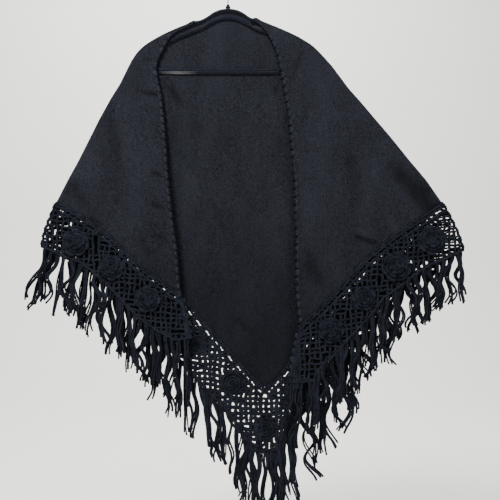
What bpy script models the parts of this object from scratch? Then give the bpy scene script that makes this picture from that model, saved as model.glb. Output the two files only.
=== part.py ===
"""A knitted triangular shawl with a crocheted border, roses and fringe, draped over a slim hanger.

Metres, +Z up. The origin is the inner top of the hanger's hook, where a rail carries it. The hanger
and the cloth lie along X, the two fronts face -Y and the back faces +Y. Left means -X, as seen from
the front.
The shawl is one triangle of cloth folded over the hanger's two arms. It is built in five stretches:
a back, two fronts, and between them the two that turn over the arms and down the free sides. The border
is split in the same way. Every point of cloth comes from cloth_surface(), which gives the middle of the
wall for a place in the front view, so that border, roses and fringe follow the drape.
"""

import math
from collections import namedtuple

import bmesh
import bpy
import numpy as np
from mathutils import Vector
from mathutils.geometry import delaunay_2d_cdt

# Hanger
HANGER_THICK = 0.005
HANGER_CHAMFER = 0.0014
HOOK_WIRE = 0.0034
HOOK_INNER_RADIUS = 0.017
HOOK_STEM_BEND_Z = -0.046
HOOK_STEM_BOW = 0.0016
HOOK_STARTS_AT = -38
HOOK_ENDS_AT = 205
COLLAR_TOP_Z = -0.0665
COLLAR_BOTTOM_Z = -0.0757
COLLAR_TOP_RADIUS = 0.0028
COLLAR_BOTTOM_RADIUS = 0.0062
COLLAR_FLATTEN = 0.75

# Cloth
WALL = 0.002
SEAM_GAP = 0.0003
BORDER_GAP = 0.0005
DEPTH_ON_HANGER = 0.0043
DEPTH_BELOW = 0.0105
DEPTH_GROWS_FROM_Z = -0.245
DEPTH_FULL_AT_Z = -0.560
NARROWEST_FLAP = 0.0065
NARROWEST_FRONT = 0.0032
SIDE_POINT_Z = -0.5625
NECK_RISE = 0.010
NECK_RISE_DROP = 0.045
TURN_COLUMNS = 3
BORDER_FOLD_ROWS = 4
FRONT_COLUMNS = 7
BACK_COLUMNS = 13

# Picot edging
EDGING_WIDTH = 0.0085
EDGING_VALLEY = 0.0050
EDGING_STEP = 0.0100
EDGING_AT_NECK = 0.45
EDGING_GROWS_OVER = 0.05

# Crocheted border
BORDER_WALL = 0.0018
GAP_PITCH = 0.026
ROSE_CLEAR = 0.004

# Roses
ROSE_PETALS = 6
PETAL_NOTCH = 0.84
ROSE_SEAT = 0.0009
ROSE_HEART_HEIGHT = 0.0058

# Fringe
LOCK_PITCH = 0.0195
LOCK_LENGTH = 0.138
LOCK_WIDTH = 0.0058
LOCK_LENGTH_VARIES = 0.10
LOCK_SWAY = 0.0034
LOCK_STRAY = 0.0030
STRIP_HEIGHT = 0.0045
STRIP_DEPTH = 0.0044

Fold = namedtuple("Fold", "z x")
Edge = namedtuple("Edge", "z x")
Station = namedtuple("Station", "wool_z rim_x rim_z")
Crease = namedtuple("Crease", "head_x head_z foot_x foot_z width height")
Rose = namedtuple("Rose", "x z radius turn")
Lean = namedtuple("Lean", "x lean")
ArmPoint = namedtuple("ArmPoint", "x z")
RoseRing = namedtuple("RoseRing", "share height petals")
GapRow = namedtuple("GapRow", "across length height shift")
LockLevel = namedtuple("LockLevel", "down girth")

# The fold over the arm and down the free side, where front and back meet.
FOLD = {
    "left": [
        Fold(-0.111, -0.0900), Fold(-0.116, -0.1030), Fold(-0.1285, -0.1345), Fold(-0.146, -0.1715),
        Fold(-0.1675, -0.2070), Fold(-0.186, -0.2265), Fold(-0.209, -0.2415), Fold(-0.265, -0.2690),
        Fold(-0.305, -0.2940), Fold(-0.355, -0.3215), Fold(-0.405, -0.3465), Fold(-0.455, -0.3715),
        Fold(-0.505, -0.3990), Fold(-0.5625, -0.4285), Fold(-0.600, -0.4440), Fold(-0.635, -0.4570),
        Fold(-0.671, -0.4640), Fold(-0.760, -0.4700),
    ],
    "right": [
        Fold(-0.1035, 0.0725), Fold(-0.116, 0.1035), Fold(-0.1285, 0.1350), Fold(-0.146, 0.1730),
        Fold(-0.1675, 0.2085), Fold(-0.186, 0.2280), Fold(-0.220, 0.2590), Fold(-0.2775, 0.3015),
        Fold(-0.305, 0.3265), Fold(-0.355, 0.3690), Fold(-0.405, 0.4115), Fold(-0.455, 0.4515),
        Fold(-0.505, 0.4940), Fold(-0.5625, 0.5340), Fold(-0.600, 0.5550), Fold(-0.640, 0.5750),
        Fold(-0.680, 0.5870), Fold(-0.760, 0.5950),
    ],
}

# The picot edge down each front, picots included.
FRONT_EDGE = {
    "left": [
        Edge(-0.111, -0.0800), Edge(-0.1325, -0.1160), Edge(-0.1525, -0.1400), Edge(-0.1825, -0.1550),
        Edge(-0.2125, -0.1700), Edge(-0.2275, -0.1725), Edge(-0.259, -0.1660), Edge(-0.2925, -0.1585),
        Edge(-0.325, -0.1550), Edge(-0.380, -0.1500), Edge(-0.4975, -0.1410), Edge(-0.5975, -0.1310),
        Edge(-0.6725, -0.1200), Edge(-0.7625, -0.1130), Edge(-0.795, -0.1100),
    ],
    "right": [
        Edge(-0.1035, 0.0690), Edge(-0.1125, 0.0760), Edge(-0.1415, 0.0915), Edge(-0.170, 0.1075),
        Edge(-0.20875, 0.1185), Edge(-0.2425, 0.1260), Edge(-0.285, 0.1340), Edge(-0.3325, 0.1415),
        Edge(-0.3875, 0.1475), Edge(-0.4975, 0.1568), Edge(-0.5975, 0.1600), Edge(-0.7225, 0.1618),
        Edge(-0.805, 0.1630), Edge(-0.868, 0.1700),
    ],
}

# Where the wool ends and the crocheted border begins, below the side point.
WOOL_HEM = {
    "front_left": [
        Edge(-0.5625, -0.4285), Edge(-0.575, -0.3950), Edge(-0.5925, -0.3660), Edge(-0.6175, -0.3310),
        Edge(-0.646, -0.2900), Edge(-0.6775, -0.2600), Edge(-0.710, -0.2275), Edge(-0.739, -0.1900),
        Edge(-0.765, -0.1550), Edge(-0.789, -0.1225), Edge(-0.795, -0.1160),
    ],
    "front_right": [
        Edge(-0.5625, 0.5340), Edge(-0.590, 0.4950), Edge(-0.6175, 0.4500), Edge(-0.645, 0.4100),
        Edge(-0.669, 0.3800), Edge(-0.700, 0.3425), Edge(-0.7275, 0.3190), Edge(-0.759, 0.2885),
        Edge(-0.7975, 0.2525), Edge(-0.829, 0.2215), Edge(-0.8625, 0.1850), Edge(-0.868, 0.1790),
    ],
    "back_left": [
        Edge(-0.5625, -0.4285), Edge(-0.600, -0.3620), Edge(-0.650, -0.2920), Edge(-0.700, -0.2430),
        Edge(-0.750, -0.1800), Edge(-0.800, -0.1150), Edge(-0.850, -0.0690), Edge(-0.900, -0.0250),
        Edge(-0.955, 0.0225), Edge(-1.000, 0.0640), Edge(-1.024, 0.0885),
    ],
    "back_right": [
        Edge(-0.5625, 0.5340), Edge(-0.600, 0.4870), Edge(-0.650, 0.4180), Edge(-0.700, 0.3620),
        Edge(-0.750, 0.3160), Edge(-0.800, 0.2750), Edge(-0.850, 0.2360), Edge(-0.900, 0.1980),
        Edge(-0.955, 0.1620), Edge(-1.000, 0.1210), Edge(-1.024, 0.0965),
    ],
}

# Across the border: the height on the wool's hem, and the matching place on the border's rim.
BORDER = {
    "front_left": [
        Station(-0.5625, -0.4640, -0.6710), Station(-0.580, -0.4360, -0.6840),
        Station(-0.600, -0.4080, -0.6970), Station(-0.6175, -0.3725, -0.7090),
        Station(-0.646, -0.3425, -0.7310), Station(-0.6775, -0.3075, -0.7600),
        Station(-0.710, -0.2620, -0.8080), Station(-0.739, -0.2250, -0.8470),
        Station(-0.765, -0.1750, -0.8830), Station(-0.789, -0.1280, -0.9060),
        Station(-0.798, -0.0910, -0.8980),
    ],
    "front_right": [
        Station(-0.5625, 0.5870, -0.6800), Station(-0.590, 0.5570, -0.6960),
        Station(-0.6175, 0.5050, -0.7170), Station(-0.645, 0.4620, -0.7440),
        Station(-0.669, 0.4260, -0.7740), Station(-0.700, 0.3880, -0.7990),
        Station(-0.7275, 0.3625, -0.8350), Station(-0.759, 0.3350, -0.8660),
        Station(-0.7975, 0.2980, -0.9040), Station(-0.829, 0.2640, -0.9420),
        Station(-0.8625, 0.2280, -0.9750), Station(-0.8700, 0.2120, -1.0080),
        Station(-0.8760, 0.1530, -1.0100),
    ],
    "back_left": [
        Station(-0.5625, -0.4640, -0.6710), Station(-0.600, -0.4160, -0.6960),
        Station(-0.650, -0.3420, -0.7360), Station(-0.700, -0.2950, -0.7800),
        Station(-0.750, -0.2440, -0.8320), Station(-0.800, -0.1850, -0.8860),
        Station(-0.850, -0.1450, -0.9340), Station(-0.900, -0.1020, -0.9800),
        Station(-0.955, -0.0560, -1.0300), Station(-0.985, -0.0275, -1.0575),
        Station(-1.005, 0.0050, -1.0950), Station(-1.018, 0.0300, -1.1300),
        Station(-1.0255, 0.0475, -1.1575), Station(-1.0275, 0.0540, -1.1830),
        Station(-1.0290, 0.0890, -1.1880),
    ],
    "back_right": [
        Station(-0.5625, 0.5870, -0.6800), Station(-0.600, 0.5450, -0.7060),
        Station(-0.650, 0.4920, -0.7380), Station(-0.700, 0.4400, -0.7800),
        Station(-0.750, 0.3980, -0.8240), Station(-0.800, 0.3560, -0.8760),
        Station(-0.850, 0.3180, -0.9240), Station(-0.900, 0.2800, -0.9760),
        Station(-0.955, 0.2400, -1.0360), Station(-0.985, 0.2080, -1.0760),
        Station(-1.005, 0.1725, -1.1025), Station(-1.018, 0.1420, -1.1400),
        Station(-1.0255, 0.1290, -1.1650), Station(-1.0275, 0.1240, -1.1830),
        Station(-1.0290, 0.0896, -1.1880),
    ],
}

# Station where each part of the border has turned from the fold and lies flat.
BORDER_TURN = {"front_left": 0.36, "front_right": 0.36, "back_left": 0.24, "back_right": 0.28}

# Soft folds of the drape. Height is outwards, so a trough is negative.
CREASES = {
    "front_left": [
        Crease(-0.215, -0.190, -0.372, -0.600, 0.034, 0.0030),
        Crease(-0.212, -0.205, -0.300, -0.650, 0.030, -0.0026),
        Crease(-0.205, -0.215, -0.238, -0.710, 0.036, 0.0040),
        Crease(-0.180, -0.260, -0.165, -0.770, 0.028, -0.0026),
    ],
    "front_right": [
        Crease(0.220, -0.190, 0.470, -0.600, 0.038, -0.0026),
        Crease(0.222, -0.200, 0.408, -0.640, 0.036, 0.0044),
        Crease(0.212, -0.210, 0.318, -0.735, 0.034, -0.0028),
        Crease(0.195, -0.230, 0.238, -0.820, 0.036, 0.0034),
        Crease(0.160, -0.290, 0.178, -0.860, 0.024, -0.0020),
    ],
    "back": [
        Crease(-0.205, -0.250, -0.355, -0.600, 0.040, 0.0036),
        Crease(-0.160, -0.250, -0.230, -0.720, 0.036, -0.0028),
        Crease(-0.110, -0.250, -0.120, -0.800, 0.040, 0.0040),
        Crease(-0.040, -0.260, -0.030, -0.900, 0.036, -0.0024),
        Crease(0.030, -0.250, 0.080, -1.010, 0.042, 0.0040),
        Crease(0.110, -0.250, 0.170, -0.930, 0.034, -0.0028),
        Crease(0.160, -0.250, 0.262, -0.810, 0.040, 0.0038),
        Crease(0.200, -0.240, 0.375, -0.690, 0.036, -0.0026),
        Crease(0.215, -0.230, 0.480, -0.610, 0.036, 0.0030),
    ],
}
CREASE_PEAK_AT = 0.65
CREASE_LEFT_AT_FOOT = 0.5
CREASE_CLEAR_OF_FOLD = 0.045

ROSES = {
    "front_left": [
        Rose(-0.3775, -0.6620, 0.0290, 0.2), Rose(-0.2885, -0.7250, 0.0260, 0.7),
        Rose(-0.1990, -0.8025, 0.0275, 0.4),
    ],
    "front_right": [
        Rose(0.5080, -0.6560, 0.0310, 0.5), Rose(0.4180, -0.7220, 0.0320, 0.1),
        Rose(0.3380, -0.8000, 0.0260, 0.8), Rose(0.2560, -0.8800, 0.0275, 0.3),
    ],
    "back_left": [
        Rose(-0.3650, -0.6680, 0.0270, 0.6), Rose(-0.2680, -0.7440, 0.0270, 0.1),
        Rose(-0.1720, -0.8260, 0.0270, 0.4), Rose(-0.0780, -0.9180, 0.0250, 0.9),
        Rose(0.0100, -1.0150, 0.0290, 0.3),
    ],
    "back_right": [
        Rose(0.4900, -0.6760, 0.0290, 0.2), Rose(0.4000, -0.7600, 0.0280, 0.5),
        Rose(0.3100, -0.8660, 0.0270, 0.7), Rose(0.2080, -0.9950, 0.0270, 0.1),
        Rose(0.0925, -1.1300, 0.0290, 0.6),
    ],
}

# How far the fringe leans sideways for each metre that it hangs.
LEANS = {
    "front_left": [
        Lean(-0.464, -0.34), Lean(-0.400, -0.22), Lean(-0.340, -0.06), Lean(-0.200, 0.04), Lean(-0.090, 0.05),
    ],
    "front_right": [Lean(0.150, -0.02), Lean(0.300, 0.05), Lean(0.450, 0.03), Lean(0.587, 0.02)],
    "back_left": [
        Lean(-0.464, -0.30), Lean(-0.380, -0.12), Lean(-0.150, 0.03), Lean(0.000, 0.08), Lean(0.089, 0.02),
    ],
    "back_right": [Lean(0.089, 0.04), Lean(0.200, 0.08), Lean(0.350, 0.05), Lean(0.587, 0.03)],
}

# Half of the hanger's outline, from the middle of the neck to the bar.
ARM_TOP = [
    ArmPoint(0.000, -0.0760), ArmPoint(0.020, -0.0785), ArmPoint(0.037, -0.0855),
    ArmPoint(0.052, -0.0970), ArmPoint(0.071, -0.1062), ArmPoint(0.1025, -0.1190),
    ArmPoint(0.1335, -0.1318), ArmPoint(0.1705, -0.1492), ArmPoint(0.2052, -0.1702),
    ArmPoint(0.2225, -0.1868), ArmPoint(0.2295, -0.1975), ArmPoint(0.2265, -0.2085),
    ArmPoint(0.2120, -0.2220), ArmPoint(0.1980, -0.2360), ArmPoint(0.1850, -0.2410),
]
ARM_INSIDE = [
    ArmPoint(0.000, -0.1030), ArmPoint(0.023, -0.1075), ArmPoint(0.045, -0.1180),
    ArmPoint(0.063, -0.1290), ArmPoint(0.105, -0.1450), ArmPoint(0.160, -0.1690),
    ArmPoint(0.196, -0.1890), ArmPoint(0.205, -0.1990), ArmPoint(0.203, -0.2080),
    ArmPoint(0.193, -0.2200), ArmPoint(0.180, -0.2270),
]

# A rose's rings from its base to its heart, as a share of its radius and a height above its seat.
ROSE_RINGS = [
    RoseRing(1.00, 0.0000, "outer"), RoseRing(1.00, 0.0024, "outer"), RoseRing(0.62, 0.0030, "round"),
    RoseRing(0.56, 0.0056, "inner"), RoseRing(0.20, 0.0068, "round"),
]

# Rows of openings in the border, from the hem outwards. Across is 0 at the hem and 1 at the rim.
GAP_ROWS = [
    GapRow(0.15, 0.018, 0.009, 0.0), GapRow(0.44, 0.012, 0.011, 0.5), GapRow(0.68, 0.012, 0.011, 0.0),
]

# A lock of fringe below its root, as a share of its length and of its width.
LOCK_LEVELS = [LockLevel(0.30, 0.95), LockLevel(0.66, 0.85), LockLevel(1.00, 0.42)]

SIGN = {"left": -1.0, "right": 1.0}


def linear_colour(hex_colour):
    """An sRGB hex colour as the linear values that Blender's materials take."""
    channels = [int(hex_colour[i : i + 2], 16) / 255 for i in (1, 3, 5)]
    return [c / 12.92 if c <= 0.04045 else ((c + 0.055) / 1.055) ** 2.4 for c in channels] + [1.0]


def make_material(name, hex_colour, roughness, metallic=0.0):
    material = bpy.data.materials.new(name)
    material.use_nodes = True
    shader = material.node_tree.nodes["Principled BSDF"]
    shader.inputs["Base Color"].default_value = linear_colour(hex_colour)
    shader.inputs["Roughness"].default_value = roughness
    shader.inputs["Metallic"].default_value = metallic
    material.diffuse_color = linear_colour(hex_colour)
    return material


def add_object(name, points, faces, material, smooth=True):
    """A closed mesh from points and faces, its faces turned outwards."""
    mesh = bpy.data.meshes.new(name)
    mesh.from_pydata([tuple(map(float, p)) for p in points], [], [tuple(map(int, f)) for f in faces])
    bm = bmesh.new()
    bm.from_mesh(mesh)
    bmesh.ops.recalc_face_normals(bm, faces=bm.faces)
    bm.to_mesh(mesh)
    bm.free()
    if smooth:
        mesh.shade_smooth()
        mesh.set_sharp_from_angle(angle=math.radians(40))
    mesh.materials.append(material)
    obj = bpy.data.objects.new(name, mesh)
    bpy.context.scene.collection.objects.link(obj)
    return obj


def triangles_between(places, loops):
    """Triangles over the area inside the first loop and outside the others, and the places they use."""
    turned = []
    for loop in loops:
        ring = np.array([places[i] for i in loop])
        following = np.roll(ring, -1, axis=0)
        area = np.sum(ring[:, 0] * following[:, 1] - following[:, 0] * ring[:, 1])
        turned.append(list(loop) if area > 0 else list(loop)[::-1])
    flat, _, triangles, _, _, origins = delaunay_2d_cdt([Vector(p) for p in places], [], turned, 0, 1e-6)
    inside = [list(t) for t, origin in zip(triangles, origins) if origin == [0]]
    return np.array([tuple(p) for p in flat]), inside


def smoothstep(t):
    t = np.clip(t, 0.0, 1.0)
    return t * t * (3 - 2 * t)


def read_table(table, z, rounding=0.006):
    """x at height z, read from a table's straight runs with their corners rounded."""
    heights = -np.array([row.z for row in table])
    values = np.array([row.x for row in table])
    z = np.asarray(z, float)
    offsets = (-1.0, -0.5, 0.0, 0.5, 1.0)
    return sum(np.interp(-(z + o * rounding), heights, values) for o in offsets) / len(offsets)


def fold_x(side, z):
    return read_table(FOLD[side], z)


def fold_slant(side, z):
    """Length along a level line for each metre square to the fold."""
    step = 0.004
    run = (fold_x(side, z + step) - fold_x(side, z - step)) / (2 * step)
    return np.sqrt(1 + run * run)


def half_depth(z):
    """Half the distance between the front and back layers."""
    grow = smoothstep((DEPTH_GROWS_FROM_Z - z) / (DEPTH_GROWS_FROM_Z - DEPTH_FULL_AT_Z))
    return DEPTH_ON_HANGER + (DEPTH_BELOW - DEPTH_ON_HANGER) * grow


def crease_height(panel, x, z):
    """How far the folds of the drape push the cloth outwards."""
    total = np.zeros(np.broadcast(x, z).shape)
    for c in CREASES[panel]:
        run, drop = c.foot_x - c.head_x, c.foot_z - c.head_z
        length = math.hypot(run, drop)
        along = ((x - c.head_x) * run + (z - c.head_z) * drop) / length**2
        aside = ((x - c.head_x) * drop - (z - c.head_z) * run) / length
        rise = smoothstep(along / CREASE_PEAK_AT)
        fall = smoothstep((along - CREASE_PEAK_AT) / (1 - CREASE_PEAK_AT))
        spread = c.width * (0.5 + 0.5 * np.clip(along, 0, 1.2))
        size = c.height * rise * (1 - (1 - CREASE_LEFT_AT_FOOT) * fall)
        total = total + size * np.exp(-((aside / spread) ** 2))
    return total


def cloth_surface(panel, x, z):
    """Middle of the cloth wall and its outward normal at places (x, z) of the front view."""
    x, z = np.asarray(x, float), np.asarray(z, float)
    facing = 1.0 if panel == "back" else -1.0
    sides = ("left", "right") if panel == "back" else (panel.split("_")[1],)
    depth = half_depth(z)
    distance = np.full(np.broadcast(x, z).shape, np.inf)
    outward = np.zeros(distance.shape)
    run = np.zeros(distance.shape)
    for side in sides:
        slant = fold_slant(side, z)
        inside = SIGN[side] * (fold_x(side, z) - x) / slant
        nearer = inside < distance
        distance = np.where(nearer, inside, distance)
        outward = np.where(nearer, SIGN[side], outward)
        run = np.where(nearer, 1 / slant, run)
    distance = np.maximum(distance, 0.0)
    turn = np.arccos(np.clip(1 - distance / depth, 0, 1))
    free = smoothstep(distance / CREASE_CLEAR_OF_FOLD)
    step = 0.002
    height = crease_height(panel, x, z) * free
    slope_x = (crease_height(panel, x + step, z) - crease_height(panel, x - step, z)) / (2 * step) * free
    slope_z = (crease_height(panel, x, z + step) - crease_height(panel, x, z - step)) / (2 * step) * free
    y = facing * np.maximum(depth * np.sin(turn) + height, SEAM_GAP / 2)
    rise = np.sqrt(np.maximum(1 - run * run, 0))
    normal = np.stack([
        np.cos(turn) * outward * run - np.sin(turn) * slope_x,
        facing * np.sin(turn) + np.zeros(distance.shape),
        np.cos(turn) * rise - np.sin(turn) * slope_z,
    ], axis=-1)
    normal /= np.linalg.norm(normal, axis=-1, keepdims=True)
    point = np.stack(np.broadcast_arrays(x, y, z), axis=-1)
    return point, normal


def edging_share(side, z):
    """The edging's width at height z, as a share of its full width. It is narrow at the neck."""
    grow = smoothstep((FOLD[side][0].z - z) / EDGING_GROWS_OVER)
    return EDGING_AT_NECK + (1 - EDGING_AT_NECK) * grow


def wool_edge_x(side, z):
    """The wool's own edge down a front, inside its picot edging."""
    step = 0.004
    table = FRONT_EDGE[side]
    run = (read_table(table, z + step) - read_table(table, z - step)) / (2 * step)
    width = EDGING_WIDTH * edging_share(side, z)
    return read_table(table, z) + SIGN[side] * width * np.sqrt(1 + run * run)


def hem_height(part, x):
    """Height of the wool's hem at x."""
    table = WOOL_HEM[part]
    order = 1 if table[-1].x > table[0].x else -1
    return np.interp(x, [row.x for row in table][::order], [row.z for row in table][::order])


def turn_end(side, z):
    """x where the cloth has turned through a right angle from the fold and lies flat."""
    return fold_x(side, z) - SIGN[side] * half_depth(z) * fold_slant(side, z)


def hem_rows(part):
    """Heights below the side point where the wool's hem and the border share a corner."""
    corner = float(hem_height(part, turn_end(part.split("_")[1], SIDE_POINT_Z)))
    tip = WOOL_HEM[part][-1].z
    return [corner] + [st.wool_z for st in BORDER[part] if tip < st.wool_z < corner] + [tip]


def upper_rows(side):
    """Heights from the neck to just above the side point where the fold's table has a row."""
    return [row.z for row in FOLD[side] if row.z > SIDE_POINT_Z]


def outer_end(part, z):
    """x where a flat panel starts, at the fold's turn or below it at the wool's hem."""
    side = part.split("_")[1]
    if z >= SIDE_POINT_Z:
        return float(turn_end(side, z)) - SIGN[side] * SEAM_GAP * float(fold_slant(side, z))
    return float(read_table(WOOL_HEM[part], z, 0.0)) - SIGN[side] * SEAM_GAP


def front_panel_places(side):
    """Places (x, z) of a front's grid: rows from the neck down, columns from the turn to the picot edge."""
    part = "front_" + side
    xs, zs = [], []
    for z in upper_rows(side) + hem_rows(part):
        outer = outer_end(part, z)
        slant = float(fold_slant(side, min(z, FOLD[side][1].z)))
        narrowest = float(fold_x(side, z)) - SIGN[side] * NARROWEST_FLAP * slant
        inner = float(wool_edge_x(side, z))
        for limit in (narrowest, outer - SIGN[side] * NARROWEST_FRONT):
            inner = min(inner, limit) if SIGN[side] > 0 else max(inner, limit)
        xs.append(np.linspace(outer, inner, FRONT_COLUMNS + 1))
        zs.append(np.full(FRONT_COLUMNS + 1, z))
    return np.array(xs), np.array(zs)


def back_panel_places():
    """Places (x, z) of the back's grid: rows from the neck to the point, columns from left to right."""
    heights = {side: upper_rows(side) + hem_rows("back_" + side) for side in SIGN}
    xs, zs = [], []
    for row in range(len(heights["left"])):
        left, right = heights["left"][row], heights["right"][row]
        x = np.linspace(outer_end("back_left", left), outer_end("back_right", right), BACK_COLUMNS + 1)
        u = (x - x[0]) / (x[-1] - x[0])
        fades = max(0.0, 1 - (heights["left"][0] - left) / NECK_RISE_DROP)
        xs.append(x)
        zs.append(left + (right - left) * u + NECK_RISE * np.sin(math.pi * u) ** 2 * fades)
    return np.array(xs), np.array(zs)


def add_wall(name, points, normals, thickness, material):
    """A closed wall of even thickness on a grid of middle points and their normals."""
    rows, columns = points.shape[:2]
    faces = []

    def index(layer, i, j):
        return layer * rows * columns + i * columns + j

    for i in range(rows - 1):
        for j in range(columns - 1):
            for layer in (0, 1):
                corners = [(i, j), (i + 1, j), (i + 1, j + 1), (i, j + 1)]
                faces.append([index(layer, *c) for c in corners[:: 1 - 2 * layer]])
    rim = [(i, 0) for i in range(rows)] + [(rows - 1, j) for j in range(1, columns)]
    rim += [(i, columns - 1) for i in range(rows - 2, -1, -1)]
    rim += [(0, j) for j in range(columns - 2, 0, -1)]
    for a, b in zip(rim, rim[1:] + rim[:1]):
        faces.append([index(0, *a), index(1, *a), index(1, *b), index(0, *b)])
    outer, inner = points + normals * thickness / 2, points - normals * thickness / 2
    add_object(name, np.concatenate([outer.reshape(-1, 3), inner.reshape(-1, 3)]), faces, material)


def turned_surface(side, back_x, back_z, front_x, front_z):
    """Points and normals of a strip round a fold, from grids of places that both end at the fold."""
    back, back_normal = cloth_surface("back", back_x, back_z)
    front, front_normal = cloth_surface("front_" + side, front_x, front_z)
    fold = (back[:, -1] + front[:, -1]) / 2
    normal = back_normal[:, -1] + front_normal[:, -1]
    normal /= np.linalg.norm(normal, axis=-1, keepdims=True)
    points = np.concatenate([back[:, :-1], fold[:, None], front[:, -2::-1]], axis=1)
    normals = np.concatenate([back_normal[:, :-1], normal[:, None], front_normal[:, -2::-1]], axis=1)
    return points, normals


def add_wool_fold(side, material):
    """The stretch of wool that turns over the arm and down the free side."""
    angles = np.linspace(math.pi / 2, 0, TURN_COLUMNS + 1)
    grids = []
    for part in ("back_" + side, "front_" + side):
        z = np.array(upper_rows(side) + [SIDE_POINT_Z])[:, None] + np.zeros(TURN_COLUMNS + 1)
        x = fold_x(side, z) - SIGN[side] * half_depth(z) * (1 - np.cos(angles)) * fold_slant(side, z)
        z[-1] = hem_height(part, x[-1])
        grids += [x, z]
    points, normals = turned_surface(side, *grids)
    add_wall("shawl_fold_" + side, points, normals, WALL, material)


def add_border_fold(side, material):
    """The stretch of border that turns round the free side, below the wool's corner."""
    grids = []
    for part in ("back_" + side, "front_" + side):
        steps = np.linspace(BORDER_TURN[part], 0, TURN_COLUMNS + 1)
        shares = np.linspace(0, 1, BORDER_FOLD_ROWS + 1)
        places = np.array([[border_place(part, s, v) for s in steps] for v in shares])
        grids += [places[..., 0], places[..., 1]]
    points, normals = turned_surface(side, *grids)
    add_wall("border_fold_" + side, points, normals, BORDER_WALL, material)


def even_steps(points, step):
    """Places along a polyline at an even step, as close to the one asked for as fits."""
    lengths = np.concatenate([[0], np.cumsum(np.linalg.norm(np.diff(points, axis=0), axis=1))])
    count = max(2, round(lengths[-1] / step) + 1)
    marks = np.linspace(0, lengths[-1], count)
    return np.stack([np.interp(marks, lengths, points[:, i]) for i in range(points.shape[1])], axis=1)


def add_edging(name, panel, path, away, side, material):
    """Picot edging along the wool's edge: a three-sided strip whose outer corner rises at each picot."""
    path = even_steps(path, EDGING_STEP)
    along = np.gradient(path, axis=0)
    along /= np.linalg.norm(along, axis=1, keepdims=True)
    out = np.stack([-along[:, 1], along[:, 0]], axis=1) * away
    reach = np.where(np.arange(len(path)) % 2 == 1, EDGING_WIDTH, EDGING_VALLEY)
    reach *= edging_share(side, path[:, 1])
    root, normal = cloth_surface(panel, *(path + out * BORDER_GAP).T)
    peak, _ = cloth_surface(panel, *(path + out * reach[:, None]).T)
    points = np.stack([root + normal * WALL / 2, root - normal * WALL / 2, peak], axis=1).reshape(-1, 3)
    faces = [[0, 1, 2], [len(points) - 1, len(points) - 2, len(points) - 3]]
    for i in range(len(path) - 1):
        for a, b in ((0, 1), (1, 2), (2, 0)):
            faces.append([3 * i + a, 3 * i + b, 3 * i + 3 + b, 3 * i + 3 + a])
    add_object(name, points, faces, material)


def border_place(part, s, v):
    """A place (x, z) in the border: s counts its stations, v runs from the hem (0) to the rim (1)."""
    stations = BORDER[part]
    side = part.split("_")[1]
    marks = np.arange(len(stations))
    hem_z = np.interp(s, marks, [st.wool_z for st in stations])
    hem = np.array([read_table(WOOL_HEM[part], hem_z, 0.0), hem_z])
    rim_x = np.interp(s, marks, [st.rim_x for st in stations])
    rim = np.array([rim_x, np.interp(s, marks, [st.rim_z for st in stations])])
    hem = hem + (rim - hem) / np.linalg.norm(rim - hem) * BORDER_GAP
    place = hem + (rim - hem) * v
    if s == 0:
        place[0] = fold_x(side, place[1])
    return place


def border_panel(part):
    return "back" if part.startswith("back") else part


def border_row(part, v, pitch, first, last):
    """Stations at an even pitch along the border at one distance from the hem."""
    marks = np.linspace(first, last, 200)
    line = np.array([border_place(part, s, v) for s in marks])
    lengths = np.concatenate([[0], np.cumsum(np.linalg.norm(np.diff(line, axis=0), axis=1))])
    count = max(1, int(lengths[-1] / pitch))
    return np.interp((np.arange(count) + 0.5) * lengths[-1] / count, lengths, marks), count


def gap_polygon(centre, along, length, height):
    across = np.array([-along[1], along[0]])
    reach, rise = along * length / 2, across * height / 2
    return [centre + reach, centre + rise, centre - reach, centre - rise]


def border_gaps(part):
    """Openings of the crochet: long ones beside the hem, and net openings between the roses."""
    last = len(BORDER[part]) - 1
    gaps = []
    for v, length, height, shift in GAP_ROWS:
        steps, count = border_row(part, v, GAP_PITCH, 0.75, last - 0.45)
        half = (steps[1] - steps[0]) / 2 if count > 1 else 0
        for s in steps + shift * half:
            if s > last - 0.3:
                continue
            centre = border_place(part, s, v)
            along = border_place(part, min(s + 0.05, last), v) - border_place(part, s - 0.05, v)
            along /= np.linalg.norm(along)
            clear = all(
                math.hypot(*(centre - (rose.x, rose.z))) > rose.radius + length / 2 + ROSE_CLEAR
                for rose in ROSES[part]
            )
            if clear and all(np.linalg.norm(centre - gap[0]) > length * 0.95 for gap in gaps):
                gaps.append((centre, gap_polygon(centre, along, length, height)))
    return [polygon for _, polygon in gaps]


def add_border(part, material):
    """The border as a thin wall with its larger openings cut through."""
    panel = border_panel(part)
    last = len(BORDER[part]) - 1
    first = BORDER_TURN[part]
    step = border_place(part, first + 0.1, 0) - border_place(part, first, 0)
    first += 0.1 * SEAM_GAP / np.linalg.norm(step)
    stations = [first] + list(range(1, last + 1))
    outline = [border_place(part, s, 0) for s in stations]
    outline += [border_place(part, last, v) for v in (0.35, 0.7)]
    outline += [border_place(part, s, 1) for s in stations[::-1]]
    outline += [border_place(part, first, v) for v in np.linspace(1, 0, BORDER_FOLD_ROWS + 1)[1:-1]]
    gaps = border_gaps(part)
    places, loops = list(outline), [list(range(len(outline)))]
    for gap in gaps:
        loops.append(list(range(len(places), len(places) + len(gap))))
        places += gap
    flat, keep = triangles_between(places, loops)
    middle, normal = cloth_surface(panel, flat[:, 0], flat[:, 1])
    count = len(flat)
    faces = keep + [[i + count for i in t[::-1]] for t in keep]
    used = {(a, b) for t in keep for a, b in zip(t, t[1:] + t[:1])}
    for a, b in sorted(used):
        if (b, a) not in used:
            faces.append([b, a, a + count, b + count])
    solid = np.concatenate([middle + normal * BORDER_WALL / 2, middle - normal * BORDER_WALL / 2])
    add_object("border_" + part, solid, faces, material)
    return len(gaps)


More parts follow.
